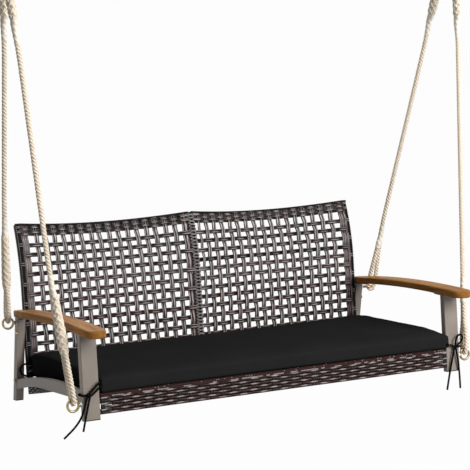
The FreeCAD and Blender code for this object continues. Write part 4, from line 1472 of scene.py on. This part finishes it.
@dataclass
class CushionTies:
    """Thin cords sewn to the cushion's corners: bands round the legs, knots, tails, a bow and rear loops.

    Routes are bench points for the right-hand side; the left-hand ones are mirrored.
    """

    diameter: float = 6.0
    knot_size: float = 15.0

    BANDS = {
        Side.LEFT: [(581, -11, 111), (600, -9.5, 96), (615, -7.6, 80), (624, -4.6, 74), (632, -4.0, 73),
                    (638.6, 0, 73), (639.0, 8, 73), (639.0, 19, 74), (637.5, 25.6, 74), (626, 26.4, 75),
                    (594, 25.8, 75)],
        Side.RIGHT: [(581, -11, 88), (597, -9.5, 84), (609, -7.4, 79), (620, -4.6, 76), (632, -4.0, 76),
                     (638.6, 0, 76), (639.0, 8, 76), (639.0, 19, 77), (637.5, 25.6, 77), (626, 26.4, 78),
                     (594, 25.8, 78)],
    }
    SECOND_LEAD = [(581, -11, 99), (597, -9.8, 83), (616.6, -7.8, 69.8)]
    KNOTS = {Side.LEFT: (622, -7.2, 73), Side.RIGHT: (613, -7.2, 76)}
    TAILS = {
        (Side.LEFT, "tail_long"): [(625.8, -8.3, 70), (636, -8, 39), (647, -6, 11), (664, -2, -11),
                                   (682, 3, -28), (696, 6, -40)],
        (Side.LEFT, "tail_short"): [(618.5, -8.5, 69), (627, -8, 36), (635, -6, 5), (641, -2, -26)],
        (Side.RIGHT, "tail_inner"): [(609.5, -8.5, 71.5), (600, -8, 38), (593, -5, 4), (588, -1, -26),
                                     (584, 3, -56)],
        (Side.RIGHT, "tail_outer"): [(616.5, -8.5, 71.5), (622, -8, 38), (627, -5, 4), (631, -1, -26),
                                     (634, 3, -56)],
        (Side.RIGHT, "bow"): [(612.8, -10.8, 80.2), (613, -13, 103), (626, -14, 116), (641, -12, 112),
                              (640, -10, 96), (629, -9, 86), (617.5, -9.5, 78.5)],
    }
    REAR_LOOP = [(586, 506, 104), (597, 518, 110), (608, 536, 109), (614, 550, 99), (616, 555, 87),
                 (613, 551, 77), (606, 537, 72), (597, 519, 73), (586, 506, 78)]

    def route(self, points: list[tuple[float, float, float]], side: Side) -> np.ndarray:
        """A route's control points in row metres."""
        return HANG.hung(np.array(points, float) * (side.value, 1, 1))

    def cord(self, name: str, points: list[tuple[float, float, float]], side: Side,
             node: str) -> None:
        """Builds a round cord along a route, in place of its plain solid.

        Args:
            name: Name of the piece.
            points: The route, for the right-hand side.
            side: Which side it is on.
            node: The node that it stands for.
        """
        route = self.route(points, side)
        line = smooth_line(name + "_line", route)
        curve = route_curve(name, route)
        curve.bevel_depth = self.diameter * MM / 2
        curve.bevel_resolution = 4
        curve.use_fill_caps = True
        curve.materials.append(TIE_CLOTH.material())
        piece = linked(name, curve)
        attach(piece, SWING)
        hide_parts(node)

    def knot(self, side: Side) -> None:
        """Builds an overhand knot: a tube along a closed three-lobed line that passes over and under itself.

        The line's places are sums of sines and cosines of one and two turns, and its depth a sine of three.

        Args:
            side: Which side.
        """
        turn = 2 * math.pi * np.arange(96) / 96
        line = np.stack([np.sin(turn) + 2 * np.sin(2 * turn), 0.9 * np.sin(3 * turn),
                         np.cos(turn) - 2 * np.cos(2 * turn)], -1)
        line *= (self.knot_size - self.diameter) / 6
        line += np.array(self.KNOTS[side], float) * (side.value, 1, 1) - (0, 1.2, 0)
        line = HANG.hung(line)
        tangent = unit(np.roll(line, -1, 0) - np.roll(line, 1, 0))
        out = unit(line - line.mean(0))
        first = unit(out - (out * tangent).sum(-1, keepdims=True) * tangent)
        rings = tube_points(line, first, np.cross(tangent, first), self.diameter * MM * 0.46, 10)
        swept_piece(f"front_{side.word}_tie_knot", rings[None], TIE_CLOTH, loop=True)

    def build(self) -> None:
        """Builds every band, knot, tail, bow and loop."""
        for side in Side:
            band = f"front_{side.word}_tie"
            self.cord(band + "_band", self.BANDS[side], side, band)
            self.knot(side)
            loop = f"rear_{side.word}_tie"
            self.cord(loop + "_loop", self.REAR_LOOP, side, loop)
        lead = "front_left_tie_second_lead"
        self.cord(lead + "_cord", self.SECOND_LEAD, Side.LEFT, lead)
        for (side, which), points in self.TAILS.items():
            node = f"front_{side.word}_tie_{which}"
            self.cord(node + "_cord", points, side, node)


@dataclass
class SeatCushion:
    """One long seat cushion: a boxy crowned form, swollen by a short cloth simulation."""

    half_length: float = 585.0
    front: float = -8.0
    rear: float = 528.0
    base: float = 70.6
    front_high: float = 46.0
    rear_high: float = 71.0
    crown: float = 9.0
    draw_in: float = 7.0
    end_round: float = 12.0
    end_fullness: float = 0.97
    power: float = 12.0
    front_pull: tuple[float, float, float] = (19.0, -8.55, 0.0)
    rear_pull: tuple[float, float, float] = (-11.0, 0.0, 0.0)
    plump: float = 8.0
    voxel: float = 0.006
    swell_limit: float = 0.004
    start_inset: float = 2.5
    frames: int = 20
    pressure: float = 4.0
    plump_from: float = 150.0
    corner_power: int = 14

    def form(self) -> np.ndarray:
        """The cushion before it swells, as rings from one end to the other, in bench millimetres.

        Each ring is a rounded box. Its top rises from the front edge to the rear one with a parabola on it,
        both fuller by the square of the way to the right end. Its front and rear draw in between the
        corners, and the rings shrink by a quarter ellipse at the ends.

        Returns:
            Points shaped rings, sides, 3.
        """
        half = self.half_length - self.start_inset
        turn = np.linspace(-1, 1, 61)
        x = half * np.sin(turn * math.pi / 2)
        left = np.maximum(0, 1 - (half - np.abs(x)) / self.end_round)
        full = self.end_fullness + (1 - self.end_fullness) * np.sqrt(1 - left ** 2)
        draw = self.draw_in * (1 - (x / half) ** 2) + (1 - full) * 34 + self.start_inset
        section = box_profile(64, self.power)
        front = (self.front + draw)[:, None]
        rear = (self.rear - draw)[:, None]
        y = (front + rear) / 2 + (rear - front) / 2 * section[:, 0]
        share = (y - self.front) / (self.rear - self.front)
        arch = share * (1 - share)
        top = self.front_high + (self.rear_high - self.front_high) * share + self.crown * 4 * arch
        plump = self.plump * np.clip((x - self.plump_from) / (half - self.plump_from), 0, 1) ** 2
        top = top + plump[:, None] * (0.6 + 4.4 * arch)
        top = (top - self.start_inset) * full[:, None]
        z = self.base + 1.0 + top * (section[:, 1] + 1) / 2
        return grid(x[:, None], y, z)

    def simulate(self, piece: bpy.types.Object) -> None:
        """Remeshes the form evenly, swells it by air pressure in a cloth simulation, and keeps the result.

        No point moves further than the swell limit, and none drops under the seat.

        Args:
            piece: The cushion, in bench metres.
        """
        bpy.context.view_layer.objects.active = piece
        piece.data.remesh_voxel_size = self.voxel
        bpy.ops.object.voxel_remesh()
        mesh = piece.data
        start = mesh_points(mesh)
        cloth = piece.modifiers.new("swell", "CLOTH")
        cloth.settings.quality = 6
        cloth.settings.use_pressure = True
        cloth.settings.uniform_pressure_force = self.pressure
        cloth.settings.effector_weights.gravity = 0.0
        scene = bpy.context.scene
        for frame in range(1, self.frames + 1):
            scene.frame_set(frame)
        swollen = piece.evaluated_get(bpy.context.evaluated_depsgraph_get()).data
        move = mesh_points(swollen) - start
        piece.modifiers.remove(cloth)
        scene.frame_set(1)
        length = np.linalg.norm(move, axis=1, keepdims=True)
        move *= np.minimum(1, self.swell_limit / np.maximum(length, 1e-9))
        settled = start + move
        settled[:, 2] = np.maximum(settled[:, 2], self.base * MM)
        move_points(mesh, settled)

    def pulled(self, points: np.ndarray) -> np.ndarray:
        """Draws the front right corner out past the leg's edge, as its tie does, and the rear left one out.

        Each pull falls off as a bell from its edge and as a high power of the distance from the end.

        Args:
            points: The cushion's points in bench millimetres.

        Returns:
            The points with the corners drawn out.
        """
        moved = points
        for side, edge, reach, way in ((Side.RIGHT, self.front, 13.0, self.front_pull),
                                       (Side.LEFT, self.rear, 110.0, self.rear_pull)):
            near = np.exp(-((points[:, 1] - edge) / reach) ** 2)
            share = np.clip(side.value * points[:, 0] / self.half_length, 0, 1) ** self.corner_power
            moved = moved + (near * share)[:, None] * np.array(way)
        return moved

    def build(self) -> None:
        """Builds the cushion and hangs it on the bench."""
        rings = self.form()
        quads, _, _ = sweep_faces(1, *rings.shape[:2], False)
        piece = mesh_object("seat_cushion_pad", rings.reshape(-1, 3) * MM, quads, CUSHION_CLOTH)
        face_outwards(piece.data)
        piece.select_set(True)
        self.simulate(piece)
        mesh = piece.data
        move_points(mesh, HANG.hung(self.pulled(mesh_points(mesh) / MM)))
        mesh.polygons.foreach_set("use_smooth", np.ones(len(mesh.polygons), bool))
        mesh.update()
        smooth = piece.modifiers.new("smooth", "SMOOTH")
        smooth.iterations = 3
        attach(piece, SWING)
        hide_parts("seat_cushion")
        LOG.info("seat_cushion_pad: %d faces", len(mesh.polygons))


@dataclass
class Studio:
    """The pale floor, the soft lamps and the camera at the photograph's angle.

    The camera was worked out from the bench's edges and the ropes, in the bench's frame before it is hung.
    The lamps have a place in row metres, a size in metres and a power in watts.
    """

    camera_place: tuple[float, float, float] = (-2.2084, -3.8370, 1.1582)
    yaw: float = math.radians(28.03)
    pitch: float = math.radians(8.772)
    focal_pixels: float = 1544.3
    image_pixels: float = 470.0
    sensor: float = 36.0
    floor_below: float = 0.34
    floor_reach: float = 60.0
    floor_grey: float = 0.40
    floor_glow: float = 0.975
    world_level: float = 0.11
    backdrop_level: float = 0.98
    lamp_aim: tuple[float, float, float] = (0.0, 0.0, -1.25)

    LAMPS = {
        "key": ((1.7, -3.6, 0.9), 2.6, 226.0),
        "fill": ((-3.6, -1.6, -0.2), 2.2, 9.0),
        "back": ((0.6, 3.2, 0.4), 2.4, 40.0),
        "top": ((0.2, -0.4, 2.2), 2.4, 38.0),
    }

    def camera(self) -> None:
        """Sets the camera up: it looks towards +X and +Y and a little down."""
        data = bpy.data.cameras.new("camera")
        data.sensor_width = self.sensor
        data.lens = self.focal_pixels * self.sensor / self.image_pixels
        data.clip_end = 200.0
        level = math.cos(self.pitch)
        back = Vector((-math.sin(self.yaw) * level, -math.cos(self.yaw) * level, math.sin(self.pitch)))
        right = Vector((math.cos(self.yaw), -math.sin(self.yaw), 0))
        turned = Matrix((right, back.cross(right), back)).transposed().to_4x4()
        place = Vector(self.camera_place) - Vector((0, HANG.pivot_behind_front, HANG.ceiling_drop)) * MM
        holder = linked("camera", data)
        holder.matrix_world = Matrix.Translation(place) @ turned
        bpy.context.scene.camera = holder

    def floor(self, lowest: float) -> None:
        """Builds a wide pale floor that shows white to the camera and keeps a soft shadow.

        Args:
            lowest: Height of the object's lowest point.
        """
        tree = NodeTree(bpy.data.materials.new("pale_floor"))
        tree.paint(Base_Color=(self.floor_grey, self.floor_grey, self.floor_grey, 1), Roughness=0.9)
        glow = tree.add("Emission", {"Color": (1, 1, 1, 1), "Strength": 1.0})
        share = tree.math("MULTIPLY", tree.seen(), self.floor_glow)
        mixed = tree.add("MixShader", {0: share, 1: tree.surface.outputs[0], 2: glow.outputs[0]})
        tree.feed(tree.tree.nodes["Material Output"].inputs["Surface"], mixed.outputs[0])
        far = self.floor_reach
        z = lowest - self.floor_below
        corners = [(-far, -far, z), (far, -far, z), (far, far, z), (-far, far, z)]
        mesh = bpy.data.meshes.new("floor")
        mesh.from_pydata(corners, [], [(0, 1, 2, 3)])
        mesh.materials.append(tree.owner)
        linked("floor", mesh)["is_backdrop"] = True

    def lamp(self, name: str, place: tuple[float, float, float], size: float, watts: float) -> None:
        """Builds one square soft lamp, aimed at the bench.

        Args:
            name: Name of the lamp.
            place: Its place in row metres.
            size: Length of its sides.
            watts: Its power.
        """
        data = bpy.data.lights.new(name, "AREA")
        data.shape = "SQUARE"
        data.size = size
        data.energy = watts
        way = Vector(self.lamp_aim) - Vector(place)
        turned = way.to_track_quat("-Z", "Y").to_matrix().to_4x4()
        linked(name, data).matrix_world = Matrix.Translation(place) @ turned

    def light(self) -> None:
        """Builds the lamps and a world that is white to the camera and dim as a light."""
        for name, (place, size, watts) in self.LAMPS.items():
            self.lamp(name, place, size, watts)
        tree = NodeTree(bpy.data.worlds.new("pale_world"), "Background")
        level = tree.span(tree.seen(), self.world_level, self.backdrop_level)
        tree.paint(Color=(1, 1, 1, 1), Strength=level)
        bpy.context.scene.world = tree.owner

    def build(self, lowest: float) -> None:
        """Builds the camera, floor and lamps round an object.

        Args:
            lowest: Height of the object's lowest point.
        """
        bpy.context.scene.view_settings.view_transform = "Standard"
        self.camera()
        self.floor(lowest)
        self.light()


ROPES = [
    Rope(End.FRONT, Side.LEFT, (-662.0, -235.61, -1414.23), (-764.7, 0, -92), (285, 150, 300, 350),
         stand_off=-9.0),
    Rope(End.FRONT, Side.RIGHT, (662.0, -235.61, -1414.23), (764.7, 0, -92), (160, 90, 172, 225),
         leg_turn=-26.0, braided=False),
    Rope(End.REAR, Side.LEFT, (-650.0, 313.32, -1286.87), (-748.3, 0, -92), (272, 120, 286, 336),
         leg_turn=-20.0, girth=0.84, stand_off=-6.0),
    Rope(End.REAR, Side.RIGHT, (666.5, 311.38, -1303.26), (748.3, 0, -92), (160, 96, 172, 225),
         leg_turn=40.0, throat_twist=0.3, braided=False, level_eye=True, stand_off=-9.0),
]


def dress(frame: dict[str, Any]) -> None:
    """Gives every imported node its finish, by the record's material slot.

    Args:
        frame: The loaded frame.
    """
    for row in frame["record"]["subparts"]:
        finish = DRESSED_NODES.get(row["material_slot"])
        if finish:
            for slot in frame["nodes"][row["node"]].material_slots:
                slot.material = finish.material()


def main() -> None:
    """Loads the frame, dresses it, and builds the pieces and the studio."""
    logging.basicConfig(level=logging.INFO, format="%(message)s")
    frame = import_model()
    cad_box = [list(corner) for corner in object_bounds()]
    Studio().build(cad_box[0][2])
    dress(frame)
    for rope in ROPES:
        rope.build()
    CushionTies().build()
    WovenBack(BackForm()).build()
    WovenSeat().build()
    SeatCushion().build()


if __name__ == "__main__":
    main()
